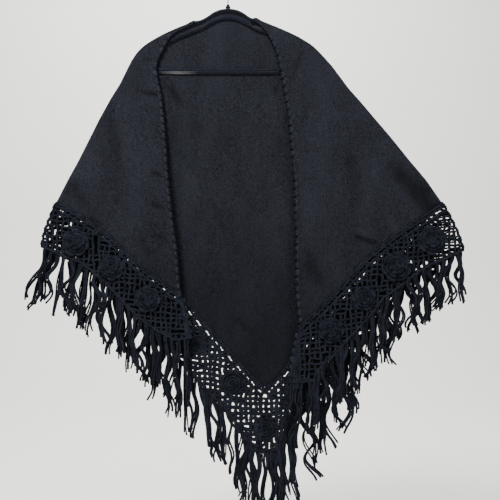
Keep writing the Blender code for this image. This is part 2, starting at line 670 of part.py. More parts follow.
def add_rose(name, panel, rose, material):
    """A crocheted rose: an outer ring of petals, an inner ring and a raised heart."""
    count = ROSE_PETALS * 2
    angles = np.arange(count) * 2 * math.pi / count + rose.turn
    lobe = np.where(np.arange(count) % 2 == 0, 1.0, PETAL_NOTCH)
    facing = 1.0 if panel == "back" else -1.0
    seat = BORDER_WALL / 2 + ROSE_SEAT
    points = []
    for ring_shape in ROSE_RINGS:
        shape = {"outer": lobe, "inner": lobe[::-1], "round": 1.0}[ring_shape.petals]
        radius = rose.radius * ring_shape.share * shape
        place = np.stack([rose.x + radius * np.cos(angles), rose.z + radius * np.sin(angles)], axis=1)
        ring, _ = cloth_surface(panel, place[:, 0], place[:, 1])
        ring[:, 1] += facing * (seat + ring_shape.height)
        points += list(ring)
    for height in (0.0, ROSE_HEART_HEIGHT):
        centre, _ = cloth_surface(panel, np.array([rose.x]), np.array([rose.z]))
        centre[:, 1] += facing * (seat + height)
        points += list(centre)
    base, top = len(points) - 2, len(points) - 1
    faces = []
    for i in range(count):
        j = (i + 1) % count
        faces.append([base, i, j])
        last = (len(ROSE_RINGS) - 1) * count
        faces.append([top, last + j, last + i])
        for k in range(0, last, count):
            faces.append([k + i, k + count + i, k + count + j, k + j])
    add_object(name, points, faces, material)


def add_fringe(part, phase, material):
    """Yarn locks that hang from a narrow strip just outside the border's rim."""
    panel = border_panel(part)
    last = len(BORDER[part]) - 1
    steps = sorted({0.08, *np.linspace(0.08, last, 160), *range(1, last + 1)})
    rim = np.array([border_place(part, s, 1) for s in steps])
    lengths = np.concatenate([[0], np.cumsum(np.linalg.norm(np.diff(rim, axis=0), axis=1))])
    count = round(lengths[-1] / LOCK_PITCH)
    pitch = lengths[-1] / count
    marks = []
    for i in range(count):
        centre = (i + 0.5) * pitch
        marks += [centre - LOCK_WIDTH / 2, centre + LOCK_WIDTH / 2]
    place = np.stack([np.interp(marks, lengths, rim[:, i]) for i in (0, 1)], axis=1)
    along = np.gradient(rim, axis=0)
    along = np.stack([np.interp(marks, lengths, along[:, i]) for i in (0, 1)], axis=1)
    along /= np.linalg.norm(along, axis=1, keepdims=True)
    out = np.stack([along[:, 1], -along[:, 0]], axis=1) * SIGN[part.split("_")[1]] * -1
    away = BORDER_GAP + rim_bulge(rim, lengths, place, marks, out)[:, None]
    top, _ = cloth_surface(panel, *(place + out * away).T)
    foot, _ = cloth_surface(panel, *(place + out * (away + STRIP_HEIGHT)).T)
    to_front, to_back = foot.copy(), foot.copy()
    to_front[:, 1] -= STRIP_DEPTH / 2
    to_back[:, 1] += STRIP_DEPTH / 2
    points = list(np.stack([top, to_front, to_back], axis=1).reshape(-1, 3))
    ends = len(place) - 1
    faces = [[0, 1, 2], [3 * ends + 2, 3 * ends + 1, 3 * ends]]
    table = LEANS[part]
    for i in range(ends):
        a, b = 3 * i, 3 * i + 3
        faces += [[a, a + 1, b + 1, b], [a, b, b + 2, a + 2]]
        if i % 2 == 1:
            faces.append([a + 1, a + 2, b + 2, b + 1])
            continue
        faces.append([a + 2, b + 2, b + 1])
        root = [a + 1, a + 2, b + 1]
        centre = np.mean([points[k] for k in root], axis=0)
        lock = i // 2
        lean = np.interp(centre[0], [row.x for row in table], [row.lean for row in table])
        length = LOCK_LENGTH * (1 + LOCK_LENGTH_VARIES * math.sin(2.4 * lock + phase))
        ring = root
        for level, (down, girth) in enumerate(LOCK_LEVELS, 1):
            sway = LOCK_SWAY * math.sin(2.1 * level + 1.7 * lock + phase)
            stray = LOCK_STRAY * math.cos(math.pi * lock) * down
            middle = centre + np.array([lean * length * down + sway, stray, -length * down])
            new = []
            for corner in range(3):
                angle = 2 * math.pi * corner / 3 + (math.pi if panel != "back" else 0) + 0.35
                radius = LOCK_WIDTH / 2 * girth
                new.append(len(points))
                points.append(middle + radius * np.array([math.cos(angle), math.sin(angle), 0]))
            new = match_ring(points, ring, new)
            for k in range(3):
                n = (k + 1) % 3
                faces.append([ring[k], ring[n], new[n], new[k]])
            ring = new
        faces.append(ring[::-1])
    add_object("fringe_" + part, points, faces, material)
    return count


def rim_bulge(rim, lengths, place, marks, out):
    """How far the rim stands out past the straight runs between the marks, for each mark."""
    bulge = np.zeros(len(marks))
    for i in range(len(marks) - 1):
        between = rim[(lengths > marks[i]) & (lengths < marks[i + 1])]
        if len(between) == 0:
            continue
        run = place[i + 1] - place[i]
        square = np.array([run[1], -run[0]]) / np.linalg.norm(run)
        square *= np.sign(square @ (out[i] + out[i + 1]))
        most = max(0.0, float(((between - place[i]) @ square).max()))
        for k in (i, i + 1):
            bulge[k] = max(bulge[k], most / float(square @ out[k]))
    return bulge


def match_ring(points, ring, new):
    """The new ring's corners in the order that runs straight down from the ring above."""
    def twist(order):
        offset = np.mean([points[k] for k in ring], axis=0) - np.mean([points[k] for k in new], axis=0)
        return sum(np.linalg.norm(points[a] - points[b] - offset) for a, b in zip(ring, order))

    orders = [new[k:] + new[:k] for k in range(3)] + [new[::-1][k:] + new[::-1][:k] for k in range(3)]
    return min(orders, key=twist)


def offset_loop(loop, distance):
    """A closed clockwise loop of places moved inwards by a distance, corners kept."""
    before, after = np.roll(loop, 1, axis=0), np.roll(loop, -1, axis=0)
    first, second = loop - before, after - loop
    first /= np.linalg.norm(first, axis=1, keepdims=True)
    second /= np.linalg.norm(second, axis=1, keepdims=True)
    normal = np.stack([first[:, 1] + second[:, 1], -first[:, 0] - second[:, 0]], axis=1)
    normal /= np.linalg.norm(normal, axis=1, keepdims=True)
    cosine = np.sum(normal * np.stack([first[:, 1], -first[:, 0]], axis=1), axis=1)
    return loop + normal * (distance / cosine)[:, None]


def add_hanger_frame(material):
    """The moulded frame: two arms with a raised neck, and the bar, with chamfered edges."""
    def whole(half):
        right = [(p.x, p.z) for p in half]
        left = [(-p.x, p.z) for p in half if p.x > 0]
        return np.array(right + left[::-1])

    outer, hole = whole(ARM_TOP), whole(ARM_INSIDE)
    loops = [(outer, offset_loop(outer, HANGER_CHAMFER)), (hole, offset_loop(hole, -HANGER_CHAMFER))]
    points, faces, caps = [], [], {-1: [], 1: []}
    for edge, face_edge in loops:
        rings = []
        for loop, y in (
            (face_edge, -HANGER_THICK / 2), (edge, HANGER_CHAMFER - HANGER_THICK / 2),
            (edge, HANGER_THICK / 2 - HANGER_CHAMFER), (face_edge, HANGER_THICK / 2),
        ):
            rings.append(range(len(points), len(points) + len(loop)))
            points += [(x, y, z) for x, z in loop]
        for lower, upper in zip(rings, rings[1:]):
            for i in range(len(lower)):
                j = (i + 1) % len(lower)
                faces.append([lower[i], lower[j], upper[j], upper[i]])
        caps[-1].append(list(rings[0]))
        caps[1].append(list(rings[-1]))
    for cap in caps.values():
        ids = [i for ring in cap for i in ring]
        split = len(cap[0])
        flat = [(points[i][0], points[i][2]) for i in ids]
        _, triangles = triangles_between(flat, [range(split), range(split, len(ids))])
        faces += [[ids[k] for k in t] for t in triangles]
    add_object("hanger_frame", points, faces, material)


def add_collar(material):
    """The small moulded cone where the hook's wire enters the neck."""
    bm = bmesh.new()
    bmesh.ops.create_cone(
        bm, cap_ends=True, segments=12, radius1=COLLAR_BOTTOM_RADIUS, radius2=COLLAR_TOP_RADIUS,
        depth=COLLAR_TOP_Z - COLLAR_BOTTOM_Z,
    )
    bmesh.ops.scale(bm, vec=(1, COLLAR_FLATTEN, 1), verts=bm.verts)
    bmesh.ops.translate(bm, vec=(0, 0, (COLLAR_TOP_Z + COLLAR_BOTTOM_Z) / 2), verts=bm.verts)
    mesh = bpy.data.meshes.new("hanger_collar")
    bm.to_mesh(mesh)
    bm.free()
    mesh.shade_smooth()
    mesh.set_sharp_from_angle(angle=math.radians(40))
    mesh.materials.append(material)
    bpy.context.scene.collection.objects.link(bpy.data.objects.new("hanger_collar", mesh))


def add_hook(material):
    """The wire hook: up from the collar, out to one side, then over the rail's place at the origin."""
    radius = HOOK_INNER_RADIUS + HOOK_WIRE / 2
    centre_z = -HOOK_INNER_RADIUS
    route = [(0.0, COLLAR_TOP_Z + SEAM_GAP), (0.0, HOOK_STEM_BEND_Z - 0.008), (0.0012, HOOK_STEM_BEND_Z)]
    low = math.radians(HOOK_STARTS_AT)
    end = np.array([radius * math.cos(low), centre_z + radius * math.sin(low)])
    start = np.array(route[-1])
    for t in (0.33, 0.66):
        bow = HOOK_STEM_BOW * math.sin(2 * math.pi * t)
        route.append(tuple(start + (end - start) * t + np.array([bow, -bow])))
    for angle in np.linspace(low, math.radians(HOOK_ENDS_AT), 13):
        route.append((radius * math.cos(angle), centre_z + radius * math.sin(angle)))
    curve = bpy.data.curves.new("hanger_hook", "CURVE")
    curve.dimensions = "3D"
    curve.bevel_depth = HOOK_WIRE / 2
    curve.bevel_resolution = 2
    curve.use_fill_caps = True
    spline = curve.splines.new("POLY")
    spline.points.add(len(route) - 1)
    for point, (x, z) in zip(spline.points, route):
        point.co = (x, 0.0, z, 1.0)
    curve.materials.append(material)
    bpy.context.scene.collection.objects.link(bpy.data.objects.new("hanger_hook", curve))


def add_cloth(wool, yarn):
    for side in SIGN:
        xs, zs = front_panel_places(side)
        add_wall("shawl_front_" + side, *cloth_surface("front_" + side, xs, zs), WALL, wool)
        edge = np.stack([xs[:, -1], zs[:, -1]], axis=1)
        add_edging("edging_" + side, "front_" + side, edge, -SIGN[side], side, yarn)
        add_wool_fold(side, wool)
        add_border_fold(side, yarn)
    xs, zs = back_panel_places()
    add_wall("shawl_back", *cloth_surface("back", xs, zs), WALL, wool)
    neck = np.stack([xs[0], zs[0]], axis=1)
    add_edging("edging_neck", "back", neck, 1.0, "left", yarn)


def main():
    for obj in list(bpy.data.objects):
        bpy.data.objects.remove(obj)
    wool = make_material("black brushed wool knit", "#26272C", 0.92)
    yarn = make_material("black crochet yarn", "#1C1C22", 0.88)
    flock = make_material("black flocked plastic", "#17181C", 0.80)
    steel = make_material("bright steel wire", "#C9C8C5", 0.28, 1.0)
    add_hanger_frame(flock)
    add_collar(flock)
    add_hook(steel)
    add_cloth(wool, yarn)
    for number, part in enumerate(BORDER):
        add_border(part, yarn)
        add_fringe(part, 1.3 * number, yarn)
        for count, rose in enumerate(ROSES[part], 1):
            add_rose(f"rose_{part}_{count}", border_panel(part), rose, yarn)


main()
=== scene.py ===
"""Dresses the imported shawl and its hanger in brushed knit, picot edging, crocheted net, roses and fringe.

Metres, +Z up. The origin is the inner top of the hanger's hook. The two fronts face -Y and the back
faces +Y, and left means -X, as seen from the front. Every piece of cloth follows cloth_surface(), which
gives the middle of the cloth for a place in the front view.
"""

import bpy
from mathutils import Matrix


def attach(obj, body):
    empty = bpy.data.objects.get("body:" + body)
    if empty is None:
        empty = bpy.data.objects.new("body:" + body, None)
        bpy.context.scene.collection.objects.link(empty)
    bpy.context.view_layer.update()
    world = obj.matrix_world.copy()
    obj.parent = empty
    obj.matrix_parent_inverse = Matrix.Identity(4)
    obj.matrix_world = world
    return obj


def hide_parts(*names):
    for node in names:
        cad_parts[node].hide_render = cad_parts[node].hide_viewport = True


bl_info = {
    "name": "Fringed Shawl on a Hanger",
    "version": (1, 0, 0),
    "blender": (4, 5, 0),
    "location": "View3D > Sidebar > Shawl",
    "description": "Builds a knitted shawl with crocheted border, roses and fringe on a slim hanger",
    "category": "Add Mesh",
}

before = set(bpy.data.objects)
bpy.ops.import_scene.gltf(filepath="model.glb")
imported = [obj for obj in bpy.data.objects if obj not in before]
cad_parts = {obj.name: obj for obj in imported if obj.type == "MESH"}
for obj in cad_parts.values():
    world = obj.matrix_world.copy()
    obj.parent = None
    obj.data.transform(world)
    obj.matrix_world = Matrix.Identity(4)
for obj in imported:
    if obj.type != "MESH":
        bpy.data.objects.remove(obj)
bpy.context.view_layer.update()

import math
from collections import namedtuple

import bpy
import numpy as np
from mathutils import Vector
from mathutils.geometry import delaunay_2d_cdt

# Cloth, as in the solids
WALL = 0.002
DEPTH_ON_HANGER = 0.0043
DEPTH_BELOW = 0.0105
DEPTH_GROWS_FROM_Z = -0.245
DEPTH_FULL_AT_Z = -0.560
NARROWEST_FLAP = 0.0065
NARROWEST_FRONT = 0.0032
SIDE_POINT_Z = -0.5625
NECK_RISE = 0.010
NECK_RISE_DROP = 0.045
EDGING_WIDTH = 0.0085
EDGING_AT_NECK = 0.45
EDGING_GROWS_OVER = 0.05

# Grid of the wool
ROW_STEP = 0.0055
TURN_STEPS = 6
FRONT_STEPS = 44
BACK_STEPS = 124

# Hanger, as in the solids
HANGER_THICK = 0.005
HOOK_WIRE = 0.0034
HOOK_INNER_RADIUS = 0.017
HOOK_STEM_BEND_Z = -0.046
HOOK_STEM_BOW = 0.0016
HOOK_STARTS_AT = -38
HOOK_ENDS_AT = 205
COLLAR_TOP_Z = -0.0665
COLLAR_BOTTOM_Z = -0.0757
COLLAR_FLATTEN = 0.75

Fold = namedtuple("Fold", "z x")
Edge = namedtuple("Edge", "z x")
Station = namedtuple("Station", "wool_z rim_x rim_z")
Crease = namedtuple("Crease", "head_x head_z foot_x foot_z width height")
Rose = namedtuple("Rose", "x z radius turn")
Lean = namedtuple("Lean", "x lean")
ArmPoint = namedtuple("ArmPoint", "x z")

# The fold over the arm and down the free side, where front and back meet.
FOLD = {
    "left": [
        Fold(-0.111, -0.0900), Fold(-0.116, -0.1030), Fold(-0.1285, -0.1345), Fold(-0.146, -0.1715),
        Fold(-0.1675, -0.2070), Fold(-0.186, -0.2265), Fold(-0.209, -0.2415), Fold(-0.265, -0.2690),
        Fold(-0.305, -0.2940), Fold(-0.355, -0.3215), Fold(-0.405, -0.3465), Fold(-0.455, -0.3715),
        Fold(-0.505, -0.3990), Fold(-0.5625, -0.4285), Fold(-0.600, -0.4440), Fold(-0.635, -0.4570),
        Fold(-0.671, -0.4640), Fold(-0.760, -0.4700),
    ],
    "right": [
        Fold(-0.1035, 0.0725), Fold(-0.116, 0.1035), Fold(-0.1285, 0.1350), Fold(-0.146, 0.1730),
        Fold(-0.1675, 0.2085), Fold(-0.186, 0.2280), Fold(-0.220, 0.2590), Fold(-0.2775, 0.3015),
        Fold(-0.305, 0.3265), Fold(-0.355, 0.3690), Fold(-0.405, 0.4115), Fold(-0.455, 0.4515),
        Fold(-0.505, 0.4940), Fold(-0.5625, 0.5340), Fold(-0.600, 0.5550), Fold(-0.640, 0.5750),
        Fold(-0.680, 0.5870), Fold(-0.760, 0.5950),
    ],
}

# The picot edge down each front, picots included.
FRONT_EDGE = {
    "left": [
        Edge(-0.111, -0.0800), Edge(-0.1325, -0.1160), Edge(-0.1525, -0.1400), Edge(-0.1825, -0.1550),
        Edge(-0.2125, -0.1700), Edge(-0.2275, -0.1725), Edge(-0.259, -0.1660), Edge(-0.2925, -0.1585),
        Edge(-0.325, -0.1550), Edge(-0.380, -0.1500), Edge(-0.4975, -0.1410), Edge(-0.5975, -0.1310),
        Edge(-0.6725, -0.1200), Edge(-0.7625, -0.1130), Edge(-0.795, -0.1100),
    ],
    "right": [
        Edge(-0.1035, 0.0690), Edge(-0.1125, 0.0760), Edge(-0.1415, 0.0915), Edge(-0.170, 0.1075),
        Edge(-0.20875, 0.1185), Edge(-0.2425, 0.1260), Edge(-0.285, 0.1340), Edge(-0.3325, 0.1415),
        Edge(-0.3875, 0.1475), Edge(-0.4975, 0.1568), Edge(-0.5975, 0.1600), Edge(-0.7225, 0.1618),
        Edge(-0.805, 0.1630), Edge(-0.868, 0.1700),
    ],
}

# Where the wool ends and the crocheted border begins, below the side point.
WOOL_HEM = {
    "front_left": [
        Edge(-0.5625, -0.4285), Edge(-0.575, -0.3950), Edge(-0.5925, -0.3660), Edge(-0.6175, -0.3310),
        Edge(-0.646, -0.2900), Edge(-0.6775, -0.2600), Edge(-0.710, -0.2275), Edge(-0.739, -0.1900),
        Edge(-0.765, -0.1550), Edge(-0.789, -0.1225), Edge(-0.795, -0.1160),
    ],
    "front_right": [
        Edge(-0.5625, 0.5340), Edge(-0.590, 0.4950), Edge(-0.6175, 0.4500), Edge(-0.645, 0.4100),
        Edge(-0.669, 0.3800), Edge(-0.700, 0.3425), Edge(-0.7275, 0.3190), Edge(-0.759, 0.2885),
        Edge(-0.7975, 0.2525), Edge(-0.829, 0.2215), Edge(-0.8625, 0.1850), Edge(-0.868, 0.1790),
    ],
    "back_left": [
        Edge(-0.5625, -0.4285), Edge(-0.600, -0.3620), Edge(-0.650, -0.2920), Edge(-0.700, -0.2430),
        Edge(-0.750, -0.1800), Edge(-0.800, -0.1150), Edge(-0.850, -0.0690), Edge(-0.900, -0.0250),
        Edge(-0.955, 0.0225), Edge(-1.000, 0.0640), Edge(-1.024, 0.0885),
    ],
    "back_right": [
        Edge(-0.5625, 0.5340), Edge(-0.600, 0.4870), Edge(-0.650, 0.4180), Edge(-0.700, 0.3620),
        Edge(-0.750, 0.3160), Edge(-0.800, 0.2750), Edge(-0.850, 0.2360), Edge(-0.900, 0.1980),
        Edge(-0.955, 0.1620), Edge(-1.000, 0.1210), Edge(-1.024, 0.0965),
    ],
}

# Across the border: the height on the wool's hem, and the matching place on the border's rim.
BORDER = {
    "front_left": [
        Station(-0.5625, -0.4640, -0.6710), Station(-0.580, -0.4360, -0.6840),
        Station(-0.600, -0.4080, -0.6970), Station(-0.6175, -0.3725, -0.7090),
        Station(-0.646, -0.3425, -0.7310), Station(-0.6775, -0.3075, -0.7600),
        Station(-0.710, -0.2620, -0.8080), Station(-0.739, -0.2250, -0.8470),
        Station(-0.765, -0.1750, -0.8830), Station(-0.789, -0.1280, -0.9060),
        Station(-0.798, -0.0910, -0.8980),
    ],
    "front_right": [
        Station(-0.5625, 0.5870, -0.6800), Station(-0.590, 0.5570, -0.6960),
        Station(-0.6175, 0.5050, -0.7170), Station(-0.645, 0.4620, -0.7440),
        Station(-0.669, 0.4260, -0.7740), Station(-0.700, 0.3880, -0.7990),
        Station(-0.7275, 0.3625, -0.8350), Station(-0.759, 0.3350, -0.8660),
        Station(-0.7975, 0.2980, -0.9040), Station(-0.829, 0.2640, -0.9420),
        Station(-0.8625, 0.2280, -0.9750), Station(-0.8700, 0.2120, -1.0080),
        Station(-0.8760, 0.1530, -1.0100),
    ],
    "back_left": [
        Station(-0.5625, -0.4640, -0.6710), Station(-0.600, -0.4160, -0.6960),
        Station(-0.650, -0.3420, -0.7360), Station(-0.700, -0.2950, -0.7800),
        Station(-0.750, -0.2440, -0.8320), Station(-0.800, -0.1850, -0.8860),
        Station(-0.850, -0.1450, -0.9340), Station(-0.900, -0.1020, -0.9800),
        Station(-0.955, -0.0560, -1.0300), Station(-0.985, -0.0275, -1.0575),
        Station(-1.005, 0.0050, -1.0950), Station(-1.018, 0.0300, -1.1300),
        Station(-1.0255, 0.0475, -1.1575), Station(-1.0275, 0.0540, -1.1830),
        Station(-1.0290, 0.0890, -1.1880),
    ],
    "back_right": [
        Station(-0.5625, 0.5870, -0.6800), Station(-0.600, 0.5450, -0.7060),
        Station(-0.650, 0.4920, -0.7380), Station(-0.700, 0.4400, -0.7800),
        Station(-0.750, 0.3980, -0.8240), Station(-0.800, 0.3560, -0.8760),
        Station(-0.850, 0.3180, -0.9240), Station(-0.900, 0.2800, -0.9760),
        Station(-0.955, 0.2400, -1.0360), Station(-0.985, 0.2080, -1.0760),
        Station(-1.005, 0.1725, -1.1025), Station(-1.018, 0.1420, -1.1400),
        Station(-1.0255, 0.1290, -1.1650), Station(-1.0275, 0.1240, -1.1830),
        Station(-1.0290, 0.0896, -1.1880),
    ],
}

# Soft folds of the drape. Height is outwards, so a trough is negative.
CREASES = {
    "front_left": [
        Crease(-0.215, -0.190, -0.372, -0.600, 0.034, 0.0030),
        Crease(-0.212, -0.205, -0.300, -0.650, 0.030, -0.0026),
        Crease(-0.205, -0.215, -0.238, -0.710, 0.036, 0.0040),
        Crease(-0.180, -0.260, -0.165, -0.770, 0.028, -0.0026),
    ],
    "front_right": [
        Crease(0.220, -0.190, 0.470, -0.600, 0.038, -0.0026),
        Crease(0.222, -0.200, 0.408, -0.640, 0.036, 0.0044),
        Crease(0.212, -0.210, 0.318, -0.735, 0.034, -0.0028),
        Crease(0.195, -0.230, 0.238, -0.820, 0.036, 0.0034),
        Crease(0.160, -0.290, 0.178, -0.860, 0.024, -0.0020),
    ],
    "back": [
        Crease(-0.205, -0.250, -0.355, -0.600, 0.040, 0.0036),
        Crease(-0.160, -0.250, -0.230, -0.720, 0.036, -0.0028),
        Crease(-0.110, -0.250, -0.120, -0.800, 0.040, 0.0040),
        Crease(-0.040, -0.260, -0.030, -0.900, 0.036, -0.0024),
        Crease(0.030, -0.250, 0.080, -1.010, 0.042, 0.0040),
        Crease(0.110, -0.250, 0.170, -0.930, 0.034, -0.0028),
        Crease(0.160, -0.250, 0.262, -0.810, 0.040, 0.0038),
        Crease(0.200, -0.240, 0.375, -0.690, 0.036, -0.0026),
        Crease(0.215, -0.230, 0.480, -0.610, 0.036, 0.0030),
    ],
}
CREASE_PEAK_AT = 0.65
CREASE_LEFT_AT_FOOT = 0.5
CREASE_CLEAR_OF_FOLD = 0.045

ROSES = {
    "front_left": [
        Rose(-0.3775, -0.6620, 0.0290, 0.2), Rose(-0.2885, -0.7250, 0.0260, 0.7),
        Rose(-0.1990, -0.8025, 0.0275, 0.4),
    ],
    "front_right": [
        Rose(0.5080, -0.6560, 0.0310, 0.5), Rose(0.4180, -0.7220, 0.0320, 0.1),
        Rose(0.3380, -0.8000, 0.0260, 0.8), Rose(0.2560, -0.8800, 0.0275, 0.3),
    ],
    "back_left": [
        Rose(-0.3650, -0.6680, 0.0270, 0.6), Rose(-0.2680, -0.7440, 0.0270, 0.1),
        Rose(-0.1720, -0.8260, 0.0270, 0.4), Rose(-0.0780, -0.9180, 0.0250, 0.9),
        Rose(0.0100, -1.0150, 0.0290, 0.3),
    ],
    "back_right": [
        Rose(0.4900, -0.6760, 0.0290, 0.2), Rose(0.4000, -0.7600, 0.0280, 0.5),
        Rose(0.3100, -0.8660, 0.0270, 0.7), Rose(0.2080, -0.9950, 0.0270, 0.1),
        Rose(0.0925, -1.1300, 0.0290, 0.6),
    ],
}

# How far the fringe leans sideways for each metre that it hangs.
LEANS = {
    "front_left": [
        Lean(-0.464, -0.34), Lean(-0.400, -0.22), Lean(-0.340, -0.06), Lean(-0.200, 0.04), Lean(-0.090, 0.05),
    ],
    "front_right": [
        Lean(0.150, -0.17), Lean(0.195, -0.05), Lean(0.300, 0.05), Lean(0.450, 0.03), Lean(0.587, 0.02),
    ],
    "back_left": [
        Lean(-0.464, -0.30), Lean(-0.380, -0.12), Lean(-0.150, 0.03), Lean(0.000, 0.08), Lean(0.089, 0.02),
    ],
    "back_right": [Lean(0.089, 0.04), Lean(0.200, 0.08), Lean(0.350, 0.05), Lean(0.587, 0.03)],
}

# Half of the hanger's outline, from the middle of the neck to the bar.
ARM_TOP = [
    ArmPoint(0.000, -0.0760), ArmPoint(0.020, -0.0785), ArmPoint(0.037, -0.0855),
    ArmPoint(0.052, -0.0970), ArmPoint(0.071, -0.1062), ArmPoint(0.1025, -0.1190),
    ArmPoint(0.1335, -0.1318), ArmPoint(0.1705, -0.1492), ArmPoint(0.2052, -0.1702),
    ArmPoint(0.2225, -0.1868), ArmPoint(0.2295, -0.1975), ArmPoint(0.2265, -0.2085),
    ArmPoint(0.2120, -0.2220), ArmPoint(0.1980, -0.2360), ArmPoint(0.1850, -0.2410),
]
ARM_INSIDE = [
    ArmPoint(0.000, -0.1030), ArmPoint(0.023, -0.1075), ArmPoint(0.045, -0.1180),
    ArmPoint(0.063, -0.1290), ArmPoint(0.105, -0.1450), ArmPoint(0.160, -0.1690),
    ArmPoint(0.196, -0.1890), ArmPoint(0.205, -0.1990), ArmPoint(0.203, -0.2080),
    ArmPoint(0.193, -0.2200), ArmPoint(0.180, -0.2270),
]


# Small puckers of the wool, finer than the solids show.
WRINKLES = {
    "front_left": [
        Crease(-0.204, -0.284, -0.160, -0.300, 0.0040, -0.0030),
        Crease(-0.196, -0.484, -0.156, -0.500, 0.0040, -0.0030),
        Crease(-0.196, -0.566, -0.150, -0.578, 0.0040, -0.0030),
        Crease(-0.196, -0.642, -0.146, -0.652, 0.0040, -0.0030),
        Crease(-0.352, -0.596, -0.308, -0.620, 0.0045, -0.0028),
        Crease(-0.232, -0.280, -0.172, -0.300, 0.0060, -0.0026),
        Crease(-0.178, -0.150, -0.168, -0.192, 0.0060, -0.0016),
        Crease(-0.400, -0.500, -0.345, -0.590, 0.0160, -0.0024),
        Crease(-0.300, -0.300, -0.255, -0.560, 0.0130, -0.0016),
        Crease(-0.230, -0.620, -0.180, -0.730, 0.0110, -0.0014),
    ],
    "front_right": [
        Crease(0.385, -0.440, 0.575, -0.660, 0.0210, -0.0036),
        Crease(0.304, -0.640, 0.392, -0.674, 0.0060, -0.0046),
        Crease(0.310, -0.630, 0.372, -0.655, 0.0080, 0.0016),
        Crease(0.458, -0.548, 0.520, -0.520, 0.0120, -0.0028),
        Crease(0.395, -0.590, 0.430, -0.655, 0.0110, 0.0020),
        Crease(0.188, -0.176, 0.148, -0.286, 0.0060, -0.0015),
        Crease(0.202, -0.320, 0.174, -0.386, 0.0045, -0.0016),
        Crease(0.214, -0.330, 0.190, -0.396, 0.0040, 0.0010),
        Crease(0.190, -0.690, 0.246, -0.790, 0.0150, -0.0022),
        Crease(0.300, -0.420, 0.330, -0.600, 0.0140, -0.0014),
    ],
    "back": [
        Crease(-0.166, -0.232, -0.108, -0.335, 0.0100, -0.0034),
        Crease(0.122, -0.236, 0.114, -0.300, 0.0090, -0.0034),
        Crease(-0.120, -0.470, -0.040, -0.560, 0.0090, 0.0014),
        Crease(-0.060, -0.520, 0.000, -0.640, 0.0090, -0.0012),
        Crease(0.000, -0.840, 0.080, -0.900, 0.0080, -0.0014),
        Crease(0.040, -0.300, 0.034, -0.640, 0.0070, 0.0008),
        Crease(-0.300, -0.420, -0.270, -0.600, 0.0120, 0.0016),
        Crease(0.260, -0.400, 0.300, -0.620, 0.0120, -0.0016),
    ],
}

# The wool's shade in its creases: the depth of a full one, the light it takes, and how much of a back
# crease's shade shows on the outer face
FULL_TROUGH = 0.0026
TROUGH_SHADE = 0.48
OUTER_TROUGH = 0.25

# Painted shade: the back layer is darker than the fronts, and the wool darker still towards the bottom, where
# the back lies deep between them. The low painted shade is full at the first height and gone at the second.
BACK_LIGHT = 0.90
LOW_BACK_LIGHT = 0.56
LOW_BACK_Z = (-0.95, -0.55)

# Heights of the wool's slow unevenness: its long waves and its short ones
LONG_WAVES = 0.0005
SHORT_WAVES = 0.0003

# Picot edging: how far each eyelet, a dark button of painted shade, lies inside the edge, how unlike the
# shells are, how the path along the edge is smoothed, and the chain that carries the shells
EYELET_SHADE_INSET = 0.0014
PICOTS_VARY = (0.9, 1.1)
EDGE_SMOOTHED_OVER = (-0.012, -0.006, 0, 0.006, 0.012)
EDGE_CHAIN_YARN = 0.0042
EDGE_CHAIN_STITCH = 0.003
CHAIN_INSET = 0.0002

# Border: where the arches and the square net run, from the hem (0) to the rim (1)
HEM_ROWS = (0.0, 0.064, 0.155)
NET_FROM, NET_TO = 0.15, 0.98
RIM_ROWS = (0.985,)
HEM_PITCH = 0.0170
RIM_PITCH = 0.016
ARCH_SLANT = 0.45
FOOT_UNEVEN = 0.25
POST_UNEVEN = 0.28
CHAIN_WAVE = 0.012
CHAIN_STITCH = 0.0035
HEM_CHAIN_AT = 0.005
TIP_STEP = {"front_left": 0.10, "front_right": 0.14}
SCALLOP_REACH = 0.0035

# The square net: share of its runs left out, how uneven it is, how it rises from the point, and its
# stitches
NET_MISSED = 0.05
NET_UNEVEN = 0.50
NET_RISE = 0.09
NET_SHAKE = 0.0007
NET_STITCH = 0.0034
NET_SWELL = 0.16
NET_KNOT = 0.60
POINT_X = 0.089

# Two stretches behind the fronts where the net is closer, from x to x
CLOSE_NET = {"back_left": (-0.345, -0.10), "back_right": (0.138, 0.40)}

# Where the yarn thins towards each end, so that the net opens: from x, over a length, by a share
OPEN_NET = ((0.455, 0.05, 0.36), (-0.375, -0.05, 0.18))

# Radius of a knot too small to show, where runs meet but aren't tied
NO_KNOT = 0.0001

# Widths of yarn as shares of the crochet yarn
ARCH_YARN = 1.05
RIM_YARN = 1.2
BACK_YARN = 1.31
CLOSE_YARN = 0.8
ROSE_RING_YARN = 0.9
TIP_YARN = 1.2

# Roses: the ring of yarn round each one, how far its petals spread past it, how far it stands off the net,
# and how much wider a petal is than its share of the round
ROSE_RING = -0.0020
ROSE_SPREAD = 1.16
ROSE_SEAT = 0.0018
PETALS_OVERLAP = 1.16

# A rose's tiers: petals, inner and outer radius, height, lift at the rim, cup
ROSE_TIERS = (
    (7, 0.30, 1.06, 0.045, 0.10, 0.05),
    (6, 0.18, 0.76, 0.11, 0.13, 0.07),
    (5, 0.10, 0.50, 0.17, 0.14, 0.08),
    (6, 0.12, 0.66, -0.02, -0.05, -0.02),
)

# How unlike a rose's petals are: turn, reach and lift
PETAL_TURNS = 0.05
PETAL_REACHES = (0.93, 1.04)
PETAL_LIFTS = (0.8, 1.2)

# Yarn coiled flat in a rose's heart, and under its petals: turns, inner radius, how far it winds out, and
# its half width
HEART_COIL = (2.4, 0.05, 0.21, 0.062)
UNDER_COIL = (3.3, 0.07, 0.74, 0.085)

# Fringe: its length at x as a share, and where its bundles are close together, with their share of the
# pitch
FRINGE_REACH = ((-0.464, 0.90), (-0.20, 1.0), (0.0, 1.14), (0.15, 1.10), (0.30, 0.90), (0.587, 0.80))
LOCK_LENGTH_VARIES = 0.10
POINT_FROM_Z = -1.125
DENSE_TO_X = 0.20
POINT_FRINGE = 0.55

